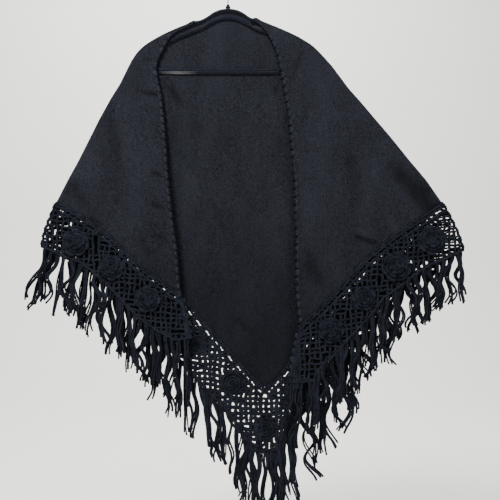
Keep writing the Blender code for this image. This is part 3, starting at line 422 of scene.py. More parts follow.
# How unlike the bundles are, and the two to four yarns in each
FRINGE_STEPS = 36
BUNDLE_PITCHES = (0.8, 1.2)
BUNDLE_LEAN = 0.07
BUNDLE_BEND = 0.0075
BUNDLE_WAVES = (0.9, 1.6)
PARTS_FROM = (0.45, 0.95)
YARNS_FROM, YARNS_BELOW = 2, 5
YARN_LENGTHS = (0.93, 1.05)
YARN_WIDTHS = (0.85, 1.15)
YARN_SPACING = 0.0022
YARN_SPLIT = 0.0028
YARN_WAVE = 0.0014
YARN_CURL = 0.0032
FRINGE_STITCH = 0.0045
FRINGE_TWIST = 0.024
KNOT_SIZE = (0.0085, 0.0105)

# Colour that raised fibres give back
SHEEN_TINT = (0.88, 0.90, 1.0, 1.0)

# Painted light in a yarn's colour: painted shade on its sides and between the stitches, and a painted
# highlight on its crown
YARN_SIDE_LIGHT = 0.02
YARN_CROWN_LIGHT = 1.7

# Rubbed-off flock at the lower left of the bar: smoother plastic, and a lighter colour painted there as a
# highlight where the glint falls. The patch starts at each first place and is full at the second
BARE_PLASTIC_GLINT = (0.08, 0.08, 0.08, 1.0)
GLINT_WEAR_FROM_ABOVE = (-0.2328, -0.2345)
GLINT_WEAR_FROM_RIGHT = (-0.074, -0.125)
GLINT_WEAR_FROM_LEFT = (-0.172, -0.132)

# Sizes of the patterns, as features for each metre. One pixel of the render is 2.5 mm. Wool fibre, yarn
# fuzz and flock are far finer than that, so their specks are drawn 2 to 5 mm across, to show at all.
WOOL_TUFTS = 340
WOOL_GRAIN = 190
WOOL_CLOUDS = 15
YARN_FUZZ = 480
YARN_CLOUDS = 60
FLOCK_SPECKS = 420
WIRE_LINES = 900
BOARD_CLOUDS = 1.5

# Crown of the hanger's edges: inset from the outline, and share of half its thickness
HANGER_CROWN = ((0.0, 0.0), (0.0003, 0.42), (0.0011, 0.74), (0.0026, 0.93), (0.0048, 1.0))

# The moulded collar round the hook's foot: radius and height
COLLAR_PROFILE = (
    (0.0058, COLLAR_BOTTOM_Z), (0.0062, COLLAR_BOTTOM_Z + 0.0012), (0.0050, COLLAR_BOTTOM_Z + 0.0046),
    (0.0034, COLLAR_TOP_Z - 0.0016), (0.0026, COLLAR_TOP_Z),
)

# Studio: name, place, what it is aimed at, size and power
FLOOR_Z = -1.62
LIGHTS = (
    ("key_soft", (-1.1, -2.0, 1.9), (0.0, 0.0, -0.6), 0.8, 205.0),
    ("fill_soft", (2.0, -2.4, 0.0), (0.1, 0.0, -0.7), 2.2, 36.0),
    ("top_soft", (-0.45, -1.3, 0.75), (-0.17, 0.0, -0.23), 0.35, 10.0),
    ("rear_soft", (0.8, 2.4, 1.4), (0.0, 0.0, -0.6), 1.6, 30.0),
    ("sweep_soft", (-0.4, 1.4, 2.3), (-0.2, 3.8, -0.7), 2.0, 182.0),
)
WORLD_STRENGTH = 0.38
VIEW_WIDTH = 1.25
VIEW_X = 0.055
VIEW_Z = -0.680
CAMERA_DISTANCE = 2.0
CAMERA_SENSOR = 36.0

# The sweep's profile: where the floor ends, the radius of its bend, its half width and its top
SWEEP_Y, SWEEP_RADIUS, SWEEP_HALF_WIDTH, SWEEP_TOP_Z = 2.6, 1.2, 6.0, 4.5

SIGN = {"left": -1.0, "right": 1.0}

# Filled by main(): the two geometry trees and the materials
TREES = {}
MATERIALS = {}


def linear_colour(hex_colour):
    """An sRGB hex colour as the linear values that Blender's materials take."""
    channels = [int(hex_colour[i : i + 2], 16) / 255 for i in (1, 3, 5)]
    return [c / 12.92 if c <= 0.04045 else ((c + 0.055) / 1.055) ** 2.4 for c in channels] + [1.0]


def triangles_between(places, loops):
    """Triangles over the area inside the first loop and outside the others, and the places they use."""
    turned = []
    for loop in loops:
        ring = np.array([places[i] for i in loop])
        following = np.roll(ring, -1, axis=0)
        area = np.sum(ring[:, 0] * following[:, 1] - following[:, 0] * ring[:, 1])
        turned.append(list(loop) if area > 0 else list(loop)[::-1])
    flat, _, triangles, _, _, origins = delaunay_2d_cdt([Vector(p) for p in places], [], turned, 0, 1e-6)
    inside = [list(t) for t, origin in zip(triangles, origins) if origin == [0]]
    return np.array([tuple(p) for p in flat]), inside


def smoothstep(t):
    t = np.clip(t, 0.0, 1.0)
    return t * t * (3 - 2 * t)


def read_table(table, z, rounding=0.006):
    """x at height z, read from a table's straight runs with their corners rounded."""
    heights = -np.array([row.z for row in table])
    values = np.array([row.x for row in table])
    z = np.asarray(z, float)
    offsets = (-1.0, -0.5, 0.0, 0.5, 1.0)
    return sum(np.interp(-(z + o * rounding), heights, values) for o in offsets) / len(offsets)


def fold_x(side, z):
    return read_table(FOLD[side], z)


def fold_slant(side, z):
    """Length along a level line for each metre square to the fold."""
    step = 0.004
    run = (fold_x(side, z + step) - fold_x(side, z - step)) / (2 * step)
    return np.sqrt(1 + run * run)


def half_depth(z):
    """Half the distance between the front and back layers."""
    grow = smoothstep((DEPTH_GROWS_FROM_Z - z) / (DEPTH_GROWS_FROM_Z - DEPTH_FULL_AT_Z))
    return DEPTH_ON_HANGER + (DEPTH_BELOW - DEPTH_ON_HANGER) * grow


def place_in_crease(crease, x, z):
    """Share of the way from a crease's head to its foot, and the distance beside it."""
    run, drop = crease.foot_x - crease.head_x, crease.foot_z - crease.head_z
    length = math.hypot(run, drop)
    along = ((x - crease.head_x) * run + (z - crease.head_z) * drop) / length**2
    return along, ((x - crease.head_x) * drop - (z - crease.head_z) * run) / length


def crease_height(panel, x, z):
    """How far the folds of the drape push the cloth outwards."""
    total = np.zeros(np.broadcast(x, z).shape)
    for c in CREASES[panel]:
        along, aside = place_in_crease(c, x, z)
        rise = smoothstep(along / CREASE_PEAK_AT)
        fall = smoothstep((along - CREASE_PEAK_AT) / (1 - CREASE_PEAK_AT))
        spread = c.width * (0.5 + 0.5 * np.clip(along, 0, 1.2))
        size = c.height * rise * (1 - (1 - CREASE_LEFT_AT_FOOT) * fall)
        total = total + size * np.exp(-((aside / spread) ** 2))
    return total


def edging_share(side, z):
    """The edging's width at height z, as a share of its full width. It is narrow at the neck."""
    grow = smoothstep((FOLD[side][0].z - z) / EDGING_GROWS_OVER)
    return EDGING_AT_NECK + (1 - EDGING_AT_NECK) * grow


def wool_edge_x(side, z):
    """The wool's own edge down a front, inside its picot edging."""
    step = 0.004
    table = FRONT_EDGE[side]
    run = (read_table(table, z + step) - read_table(table, z - step)) / (2 * step)
    width = EDGING_WIDTH * edging_share(side, z)
    return read_table(table, z) + SIGN[side] * width * np.sqrt(1 + run * run)


def hem_height(part, x):
    """Height of the wool's hem at x."""
    table = WOOL_HEM[part]
    order = 1 if table[-1].x > table[0].x else -1
    return np.interp(x, [row.x for row in table][::order], [row.z for row in table][::order])


def wrinkle_height(panel, x, z):
    """Small puckers and soft dents of the wool, which fade at both of their ends."""
    total = np.zeros(np.broadcast(x, z).shape)
    for w in WRINKLES[panel]:
        along, aside = place_in_crease(w, x, z)
        window = smoothstep(along / 0.3) * smoothstep((1 - along) / 0.45)
        total = total + w.height * window * np.exp(-((aside / w.width) ** 2))
    return total


def undulation(x, z, phase):
    """Slow unevenness of cloth that hangs freely."""
    wave = np.sin(31 * x + 17 * z + phase) * np.sin(23 * z - 11 * x + 2 * phase)
    return LONG_WAVES * wave + SHORT_WAVES * np.sin(67 * x - 41 * z + phase) * np.sin(53 * z + 29 * x)


def cloth_surface(panel, x, z, fine=False):
    """Middle of the cloth and its outward normal at places (x, z) of the front view."""
    x, z = np.broadcast_arrays(np.asarray(x, float), np.asarray(z, float))
    facing = 1.0 if panel == "back" else -1.0
    sides = ("left", "right") if panel == "back" else (panel.split("_")[1],)
    depth = half_depth(z)
    distance = np.full(x.shape, np.inf)
    outward, run = np.zeros(x.shape), np.zeros(x.shape)
    for side in sides:
        slant = fold_slant(side, z)
        inside = SIGN[side] * (fold_x(side, z) - x) / slant
        nearer = inside < distance
        distance = np.where(nearer, inside, distance)
        outward = np.where(nearer, SIGN[side], outward)
        run = np.where(nearer, 1 / slant, run)
    distance = np.maximum(distance, 0.0)
    turn = np.arccos(np.clip(1 - distance / depth, 0, 1))
    free = smoothstep(distance / CREASE_CLEAR_OF_FOLD)
    height = crease_height(panel, x, z) * free
    if fine:
        near = smoothstep(distance / 0.012)
        height = height + (wrinkle_height(panel, x, z) + undulation(x, z, len(panel))) * near
    y = facing * np.maximum(depth * np.sin(turn) + height, 0.0)
    rise = np.sqrt(np.maximum(1 - run * run, 0))
    normal = np.stack([
        np.cos(turn) * outward * run, facing * np.sin(turn) + 0 * x, np.cos(turn) * rise,
    ], axis=-1)
    normal /= np.linalg.norm(normal, axis=-1, keepdims=True)
    return np.stack([x, y, z], axis=-1), normal


def border_panel(part):
    return "back" if part.startswith("back") else part


def border_places(part, s, v):
    """Places (x, z) in the border: s counts its stations, v runs from the hem (0) to the rim (1)."""
    stations = BORDER[part]
    side = part.split("_")[1]
    s, v = np.broadcast_arrays(np.asarray(s, float), np.asarray(v, float))
    marks = np.arange(len(stations))
    hem_z = np.interp(s, marks, [st.wool_z for st in stations])
    hem = np.stack([read_table(WOOL_HEM[part], hem_z, 0.0), hem_z], axis=-1)
    rim = np.stack([
        np.interp(s, marks, [st.rim_x for st in stations]),
        np.interp(s, marks, [st.rim_z for st in stations]),
    ], axis=-1)
    place = hem + (rim - hem) * v[..., None]
    place[..., 0] = np.where(s <= 0, fold_x(side, place[..., 1]), place[..., 0])
    return place


def lengths_along(points):
    return np.concatenate([[0], np.cumsum(np.linalg.norm(np.diff(points, axis=0), axis=1))])


def read_along(marks, lengths, values):
    """Rows of values at marks along a path, between the lengths at which they are known."""
    return np.stack([np.interp(marks, lengths, column) for column in values.T], axis=1)


def even_steps(points, step):
    """Places along a polyline at an even step, as close to the one asked for as fits."""
    lengths = lengths_along(points)
    marks = np.linspace(0, lengths[-1], max(2, round(lengths[-1] / step) + 1))
    return read_along(marks, lengths, points)


def stations_at(part, v, pitch, shift=0.0):
    """Stations at an even pitch along the border at one distance from the hem."""
    last = len(BORDER[part]) - 1
    steps = np.linspace(0, last, 400)
    lengths = lengths_along(border_places(part, steps, v))
    count = max(2, round(lengths[-1] / pitch))
    return np.interp((np.arange(count + (shift == 0)) + shift) * lengths[-1] / count, lengths, steps)


def keep_shape(obj, mesh):
    """Gives the object a finished mesh in place of what made it."""
    old = obj.data
    obj.modifiers.clear()
    obj.data = mesh
    mesh.name = obj.name
    bpy.data.meshes.remove(old)
    return obj


def add_object(name, points, faces=(), edges=(), material=None):
    mesh = bpy.data.meshes.new(name)
    mesh.from_pydata(np.asarray(points, float).tolist(), [tuple(e) for e in edges],
                     [tuple(f) for f in faces])
    mesh.update()
    if len(faces):
        mesh.shade_smooth()
    if material is not None:
        mesh.materials.append(material)
    obj = bpy.data.objects.new(name, mesh)
    bpy.context.scene.collection.objects.link(obj)
    return obj


def add_attribute(mesh, name, values):
    values = np.asarray(values, np.float32)
    vector = values.ndim == 2
    layer = mesh.attributes.new(name, "FLOAT_VECTOR" if vector else "FLOAT", "POINT")
    layer.data.foreach_set("vector" if vector else "value", values.ravel())


def grow(obj, tree, given):
    """Runs the object's mesh through a geometry tree and keeps the result as a plain mesh."""
    modifier = obj.modifiers.new("Grow", "NODES")
    modifier.node_group = tree
    for item in tree.interface.items_tree:
        if item.item_type == "SOCKET" and item.in_out == "INPUT" and item.name in given:
            modifier[item.identifier] = given[item.name]
    depsgraph = bpy.context.evaluated_depsgraph_get()
    mesh = bpy.data.meshes.new_from_object(obj.evaluated_get(depsgraph), depsgraph=depsgraph)
    return keep_shape(obj, mesh)


def put(tree, kind, sockets=None, **settings):
    """Adds a node with its settings. A socket takes a value, or another node's output as a link."""
    node = tree.nodes.new(kind)
    for key, value in settings.items():
        setattr(node, key, value)
    for name, value in (sockets or {}).items():
        if isinstance(value, bpy.types.NodeSocket):
            tree.links.new(value, node.inputs[name])
        else:
            node.inputs[name].default_value = value
    return node


def new_tree(name, sockets):
    """An empty geometry tree with a geometry input and output and the named inputs."""
    tree = bpy.data.node_groups.new(name, "GeometryNodeTree")
    tree.interface.new_socket("Geometry", in_out="INPUT", socket_type="NodeSocketGeometry")
    for label, kind in sockets.items():
        tree.interface.new_socket(label, in_out="INPUT", socket_type="NodeSocket" + kind)
    tree.interface.new_socket("Geometry", in_out="OUTPUT", socket_type="NodeSocketGeometry")
    return tree, put(tree, "NodeGroupInput").outputs


def end_tree(tree, geometry, material):
    """Every tree ends in plain, smooth, finished geometry."""
    real = put(tree, "GeometryNodeRealizeInstances", {"Geometry": geometry})
    smooth = put(tree, "GeometryNodeSetShadeSmooth", {"Geometry": real.outputs[0]})
    done = put(tree, "GeometryNodeSetMaterial", {"Geometry": smooth.outputs[0], "Material": material})
    put(tree, "NodeGroupOutput", {0: done.outputs[0]})
    return tree


def yarn_tree():
    """Yarn along every edge, plied where it has a twist, with a knot where three or more runs meet."""
    tree, given = new_tree("Yarn along edges", {
        "Yarn width": "Float", "Roundness": "Float", "Twist length": "Float", "Stitch length": "Float",
        "Swell": "Float", "Sides": "Int", "Knot": "Float", "Material": "Material",
    })
    curve = put(tree, "GeometryNodeMeshToCurve", {"Mesh": given["Geometry"]})
    even = put(tree, "GeometryNodeResampleCurve", {
        "Curve": curve.outputs[0], "Length": given["Stitch length"]}, mode="LENGTH")
    odd = put(tree, "ShaderNodeMath", {0: put(tree, "GeometryNodeInputIndex").outputs[0], 1: 2.0},
              operation="MODULO")
    swell = put(tree, "ShaderNodeMath", {0: odd.outputs[0], 1: given["Swell"], 2: 0.5},
                operation="MULTIPLY_ADD")
    width = put(tree, "GeometryNodeInputNamedAttribute", {"Name": "width"}, data_type="FLOAT")
    scale = put(tree, "ShaderNodeMath", {0: swell.outputs[0], 1: width.outputs[0]}, operation="MULTIPLY")
    radius = put(tree, "ShaderNodeMath", {0: scale.outputs[0], 1: given["Yarn width"]}, operation="MULTIPLY")
    sized = put(tree, "GeometryNodeSetCurveRadius", {"Curve": even.outputs[0], "Radius": 1.0})
    length = put(tree, "GeometryNodeSplineParameter").outputs["Length"]
    turns = put(tree, "ShaderNodeMath", {0: length, 1: given["Twist length"]}, operation="DIVIDE")
    tilt = put(tree, "ShaderNodeMath", {0: turns.outputs[0], 1: math.tau}, operation="MULTIPLY")
    twisted = put(tree, "GeometryNodeSetCurveTilt", {"Curve": sized.outputs[0], "Tilt": tilt.outputs[0]})
    ring = put(tree, "GeometryNodeCurvePrimitiveCircle", {"Resolution": given["Sides"], "Radius": 1.0})
    across = put(tree, "ShaderNodeCombineXYZ", {"X": 1.0, "Y": given["Roundness"], "Z": 1.0})
    profile = put(tree, "GeometryNodeTransform", {"Geometry": ring.outputs[0], "Scale": across.outputs[0]})
    tube = put(tree, "GeometryNodeCurveToMesh", {
        "Curve": twisted.outputs[0], "Profile Curve": profile.outputs[0], "Scale": radius.outputs[0],
        "Fill Caps": True,
    })
    meets = put(tree, "FunctionNodeCompare", {
        0: put(tree, "GeometryNodeInputMeshVertexNeighbors").outputs[0], 1: 2.5,
    }, data_type="FLOAT", operation="GREATER_THAN")
    ball = put(tree, "GeometryNodeMeshIcoSphere", {"Radius": given["Knot"], "Subdivisions": 1})
    knots = put(tree, "GeometryNodeInstanceOnPoints", {
        "Points": given["Geometry"], "Selection": meets.outputs[0], "Instance": ball.outputs[0],
        "Scale": width.outputs[0],
    })
    both = put(tree, "GeometryNodeJoinGeometry", {0: tube.outputs[0]})
    tree.links.new(knots.outputs[0], both.inputs[0])
    return end_tree(tree, both.outputs[0], given["Material"])


def place_tree():
    """One shape at every point, turned by the point's aim and facing and scaled by its size."""
    tree, given = new_tree("Shapes along a path", {"Shape": "Object", "Material": "Material"})
    shape = put(tree, "GeometryNodeObjectInfo", {"Object": given["Shape"]})
    aim, facing = (
        put(tree, "GeometryNodeInputNamedAttribute", {"Name": name}, data_type="FLOAT_VECTOR").outputs[0]
        for name in ("aim", "facing")
    )
    size = put(tree, "GeometryNodeInputNamedAttribute", {"Name": "size"}, data_type="FLOAT")
    along = put(tree, "FunctionNodeAlignRotationToVector", {"Vector": aim}, axis="X")
    turned = put(tree, "FunctionNodeAlignRotationToVector", {"Rotation": along.outputs[0], "Vector": facing},
                 axis="Z", pivot_axis="X")
    shapes = put(tree, "GeometryNodeInstanceOnPoints", {
        "Points": given["Geometry"], "Instance": shape.outputs["Geometry"], "Rotation": turned.outputs[0],
        "Scale": size.outputs[0],
    })
    return end_tree(tree, shapes.outputs[0], given["Material"])


def place_shapes(name, shape, points, aim, facing, size, material):
    """Copies of a shape at points, as one plain mesh."""
    template = add_object(name + "_shape", *shape)
    obj = add_object(name, points)
    for label, values in (("aim", aim), ("facing", facing), ("size", size)):
        add_attribute(obj.data, label, values)
    grow(obj, TREES["place"], {"Shape": template, "Material": material})
    bpy.data.objects.remove(template)
    return obj


def draw_yarn(name, runs, widths, material, yarn, stitch, sides, swell=0.0, roundness=1.0, twist=1.0,
              knot=0.001):
    """Yarn or wire along runs of points. Runs whose ends share a place are joined there."""
    points, edges, sizes, places = [], [], [], {}
    for run, width in zip(runs, widths):
        width = np.broadcast_to(width, len(run))
        before = None
        for i, point in enumerate(run):
            key = tuple(np.round(point * 5000).astype(int)) if i in (0, len(run) - 1) else None
            index = places.get(key) if key else None
            if index is None:
                index = len(points)
                points.append(point)
                sizes.append(width[i])
                if key:
                    places[key] = index
            if before is not None and before != index:
                edges.append((before, index))
            before = index
    obj = add_object(name, points, edges=edges)
    add_attribute(obj.data, "width", sizes)
    return grow(obj, TREES["yarn"], {
        "Yarn width": yarn, "Roundness": roundness, "Twist length": twist, "Stitch length": stitch,
        "Swell": swell, "Sides": sides, "Knot": knot, "Material": material,
    })


def fine_rows():
    """Heights of the wool's rows down to the side points, left and right row by row."""
    tables = {side: [row for row in FOLD[side] if row.z >= SIDE_POINT_Z] for side in SIGN}
    rows = {side: [] for side in SIGN}
    for i in range(len(tables["left"]) - 1):
        longest = max(math.hypot(t[i + 1].z - t[i].z, t[i + 1].x - t[i].x) for t in tables.values())
        count = max(1, math.ceil(longest / ROW_STEP))
        for side, table in tables.items():
            rows[side] += list(np.linspace(table[i].z, table[i + 1].z, count, endpoint=False))
    return {side: np.array(heights + [SIDE_POINT_Z]) for side, heights in rows.items()}


def front_inner_x(side, z, outer):
    """Where a front's wool ends beside its picot edging."""
    slant = fold_slant(side, np.minimum(z, FOLD[side][1].z))
    inner = wool_edge_x(side, z)
    nearest = np.minimum if SIGN[side] > 0 else np.maximum
    inner = nearest(inner, fold_x(side, z) - SIGN[side] * NARROWEST_FLAP * slant)
    return nearest(inner, outer - SIGN[side] * NARROWEST_FRONT)


def turn_places(side, part, heights):
    """Places round the fold, from the flat cloth to the fold itself. The last row follows the hem."""
    angles = np.linspace(math.pi / 2, 0, TURN_STEPS + 1)
    z = heights[:, None] + np.zeros(TURN_STEPS + 1)
    x = fold_x(side, z) - SIGN[side] * half_depth(z) * (1 - np.cos(angles)) * fold_slant(side, z)
    z[-1] = hem_height(part, x[-1])
    return x, z


def wool_blocks():
    """The wool as one upper grid round both folds, and the three grids below its side points."""
    rows = fine_rows()
    steps = np.linspace(0, 1, FRONT_STEPS + 1)
    upper = []
    corners = {}
    for side in ("left", "right"):
        part = "front_" + side
        x, z = turn_places(side, part, rows[side])
        heights = np.append(rows[side][:-1], z[-1, 0])
        inner = front_inner_x(side, heights, x[:, 0])
        flat_x = inner[:, None] + (x[:, 0] - inner)[:, None] * steps
        flat_z = heights[:, None] + 0 * flat_x
        front, _ = cloth_surface(part, np.hstack([flat_x, x[:, 1:]]), np.hstack([flat_z, z[:, 1:]]), True)
        back_x, back_z = turn_places(side, "back_" + side, rows[side])
        back, _ = cloth_surface("back", back_x[:, ::-1], back_z[:, ::-1], True)
        block = np.concatenate([front, back[:, 1:]], axis=1)
        upper.append(block if side == "left" else block[:, ::-1])
        corners[side] = (back_x[:, 0], np.append(rows[side][:-1], back_z[-1, 0]))
        corners[part] = (x[-1, 0], z[-1, 0])
    (left_x, left_z), (right_x, right_z) = corners["left"], corners["right"]
    u = np.linspace(0, 1, BACK_STEPS + 1)
    x = left_x[:, None] + (right_x - left_x)[:, None] * u
    fades = np.clip(1 - (left_z[0] - left_z) / NECK_RISE_DROP, 0, 1)[:, None]
    z = left_z[:, None] + (right_z - left_z)[:, None] * u + NECK_RISE * np.sin(math.pi * u) ** 2 * fades
    back, _ = cloth_surface("back", x, z, True)
    grid = np.concatenate([upper[0], back[:, 1:-1], upper[1]], axis=1)
    blocks = [("upper", grid)]
    for side in ("left", "right"):
        part = "front_" + side
        tip = WOOL_HEM[part][-1].z
        count = math.ceil((corners[part][1] - tip) / ROW_STEP)
        heights = np.linspace(corners[part][1], tip, count + 1)[1:]
        outer = read_table(WOOL_HEM[part], heights, 0.0)
        inner = front_inner_x(side, heights, outer)
        x = inner[:, None] + (outer - inner)[:, None] * steps
        points, _ = cloth_surface(part, x, heights[:, None] + 0 * x, True)
        blocks.append((part, points if side == "left" else points[:, ::-1]))
    tip = WOOL_HEM["back_left"][-1].z
    count = math.ceil((left_z[-1] - tip) / ROW_STEP)
    heights = [np.linspace(z_side[-1], tip, count + 1)[1:] for z_side in (left_z, right_z)]
    ends = [read_table(WOOL_HEM["back_" + side], h, 0.0) for side, h in zip(("left", "right"), heights)]
    x = ends[0][:, None] + (ends[1] - ends[0])[:, None] * u
    z = heights[0][:, None] + (heights[1] - heights[0])[:, None] * u
    blocks.append(("back", cloth_surface("back", x, z, True)[0]))
    return blocks


def wool_sheet():
    """Middle of the wool: points, faces, and its long edge from one front's tip to the other's."""
    blocks = wool_blocks()
    grid = blocks[0][1]
    rows, columns = grid.shape[:2]
    ids = np.arange(rows * columns).reshape(rows, columns)
    points, faces = [grid.reshape(-1, 3)], []
    starts = {
        "front_left": ids[-1, : FRONT_STEPS + 1],
        "back": ids[-1, FRONT_STEPS + 2 * TURN_STEPS : columns - FRONT_STEPS - 2 * TURN_STEPS],
        "front_right": ids[-1, columns - FRONT_STEPS - 1 :],
    }
    count = rows * columns
    edge = {}
    pieces = [ids]
    for name, block in blocks[1:]:
        own = np.arange(count, count + block.shape[0] * block.shape[1]).reshape(block.shape[:2])
        count += own.size
        points.append(block.reshape(-1, 3))
        pieces.append(np.vstack([starts[name][None], own]))
        edge[name] = own[:, 0 if name == "front_left" else -1]
    for piece in pieces:
        a, b, c, d = piece[:-1, :-1], piece[1:, :-1], piece[1:, 1:], piece[:-1, 1:]
        faces.append(np.stack([a, b, c, d], axis=-1).reshape(-1, 4))
    left = np.concatenate([edge["front_left"][::-1], ids[::-1, 0]])
    right = np.concatenate([ids[:, -1], edge["front_right"]])
    return np.concatenate(points), np.concatenate(faces), np.concatenate([left, ids[0, 1:-1], right])


def vertex_normals(points, faces):
    a, b, c, d = (points[faces[:, k]] for k in range(4))
    square = np.cross(c - a, d - b)
    normals = np.zeros_like(points)
    for k in range(4):
        np.add.at(normals, faces[:, k], square)
    return normals / np.maximum(np.linalg.norm(normals, axis=1, keepdims=True), 1e-12)


def thick_shell(points, faces, normals, thickness):
    """A closed shell round a sheet of faces."""
    count = len(points)
    directed = np.concatenate([faces[:, [k, (k + 1) % 4]] for k in range(4)])
    used = {tuple(e) for e in directed.tolist()}
    rim = [[b, a, a + count, b + count] for a, b in sorted(used) if (b, a) not in used]
    shell = np.concatenate([points + normals * thickness / 2, points - normals * thickness / 2])
    return shell, np.concatenate([faces, faces[:, ::-1] + count, np.array(rim)])


def trough_depth(points):
    """How deep each point of the wool lies in its creases, from 0 to about 1, for the painted shade in the
    wool's colour.
    """
    depth = np.zeros(len(points))
    for panel in WRINKLES:
        on_back = panel == "back"
        side = SIGN.get(panel.split("_")[-1], 0)
        mine = (points[:, 1] > 0) == on_back
        if side:
            mine &= (points[:, 0] - 0.02) * side > 0
        depth[mine] = wrinkle_height(panel, points[mine, 0], points[mine, 2])
    middle = (points[: len(points) // 2, 1] + points[len(points) // 2 :, 1]) / 2
    outer = (points[:, 1] > 0) & (points[:, 1] > np.tile(middle, 2))
    depth[outer] *= OUTER_TROUGH
    return np.clip(-depth / FULL_TROUGH, -0.5, 1.2)


class SHAWL_OT_build_wool(bpy.types.Operator):
    """Build the brushed knit triangle, folded over the hanger's arms"""

    bl_idname = "shawl.build_wool"
    bl_label = "Wool triangle"

    def execute(self, context):
        points, faces, _ = wool_sheet()
        normals = vertex_normals(points, faces)
        shell, sides = thick_shell(points, faces, normals, WALL)
        obj = add_object("wool_triangle", shell, sides, material=MATERIALS["wool"])
        # Painted shade: the trough depth darkens the wool's colour in its creases
        add_attribute(obj.data, "trough", trough_depth(shell))
        layer = obj.data.uv_layers.new(name="cloth")
        corner = np.empty(len(obj.data.loops), np.int32)
        obj.data.loops.foreach_get("vertex_index", corner)
        flat = unrolled(shell)
        layer.data.foreach_set("uv", flat[corner].ravel())
        finish_piece(obj, "wool_knit", "shawl_front_left", "shawl_front_right", "shawl_back",
                     "shawl_fold_left", "shawl_fold_right")
        return {"FINISHED"}


def unrolled(points):
    """Places on the cloth laid out flat, with each front turned out round its fold."""
    u = points[:, 0].copy()
    front = points[:, 1] < 0
    for side, sign in SIGN.items():
        mine = front & (points[:, 0] * sign > 0.03)
        u[mine] = 2 * fold_x(side, points[mine, 2]) - points[mine, 0]
    return np.stack([u, points[:, 2]], axis=1)


def picot_shape():
    """One shell of the picot edging: five stitches that fan out from one place, for a reach of 1."""
    around = np.linspace(0, math.pi, 11)
    out = np.linspace(0.12, 1.0, 4)
    theta, r = np.meshgrid(around, out)
    rib = 0.80 + 0.20 * np.cos(theta * 10)
    scallop = 1 + 0.07 * np.cos(theta * 10)
    dome = 0.22 * np.sqrt(np.clip(1.02 - r**2 * 0.92, 0, 1)) * rib + 0.05
    x, y = 0.80 * np.cos(theta) * r * scallop, np.sin(theta) ** 0.8 * r * scallop - 0.10
    grid = np.stack([np.stack([x, y, side * dome], axis=-1) for side in (1, -1)])
    return closed_patch(grid)


def eyelet_shade_shape():
    """The eyelet beside the foot of each shell, for a reach of 1: a low dark oval button, painted shade that
    stands in for the shade inside the hole.
    """
    return lathe([(0.03, -0.30), (0.25, -0.26), (0.31, 0.0), (0.25, 0.26), (0.03, 0.30)], 10, 1.4)


def closed_patch(grid):
    """A closed body from an upper and a lower grid of the same shape."""
    _, rows, columns, _ = grid.shape
    ids = np.arange(2 * rows * columns).reshape(2, rows, columns)
    faces = []
    for layer in (0, 1):
        a, b, c, d = ids[layer][:-1, :-1], ids[layer][:-1, 1:], ids[layer][1:, 1:], ids[layer][1:, :-1]
        quads = np.stack([a, b, c, d], axis=-1).reshape(-1, 4)
        faces.append(quads if layer == 0 else quads[:, ::-1])
    rim = [(i, 0) for i in range(rows)] + [(rows - 1, j) for j in range(1, columns)]
    rim += [(i, columns - 1) for i in range(rows - 2, -1, -1)] + [(0, j) for j in range(columns - 2, 0, -1)]
    loop = np.array([ids[0][p] for p in rim])
    under = np.array([ids[1][p] for p in rim])
    faces.append(np.stack([loop, np.roll(loop, -1), np.roll(under, -1), under], axis=-1))
    faces = np.concatenate(faces)
    points = grid.reshape(-1, 3)
    a, b, c, d = (points[faces[:, k]] for k in range(4))
    volume = np.sum(a * np.cross(b, c)) + np.sum(a * np.cross(c, d))
    return points, faces if volume > 0 else faces[:, ::-1]


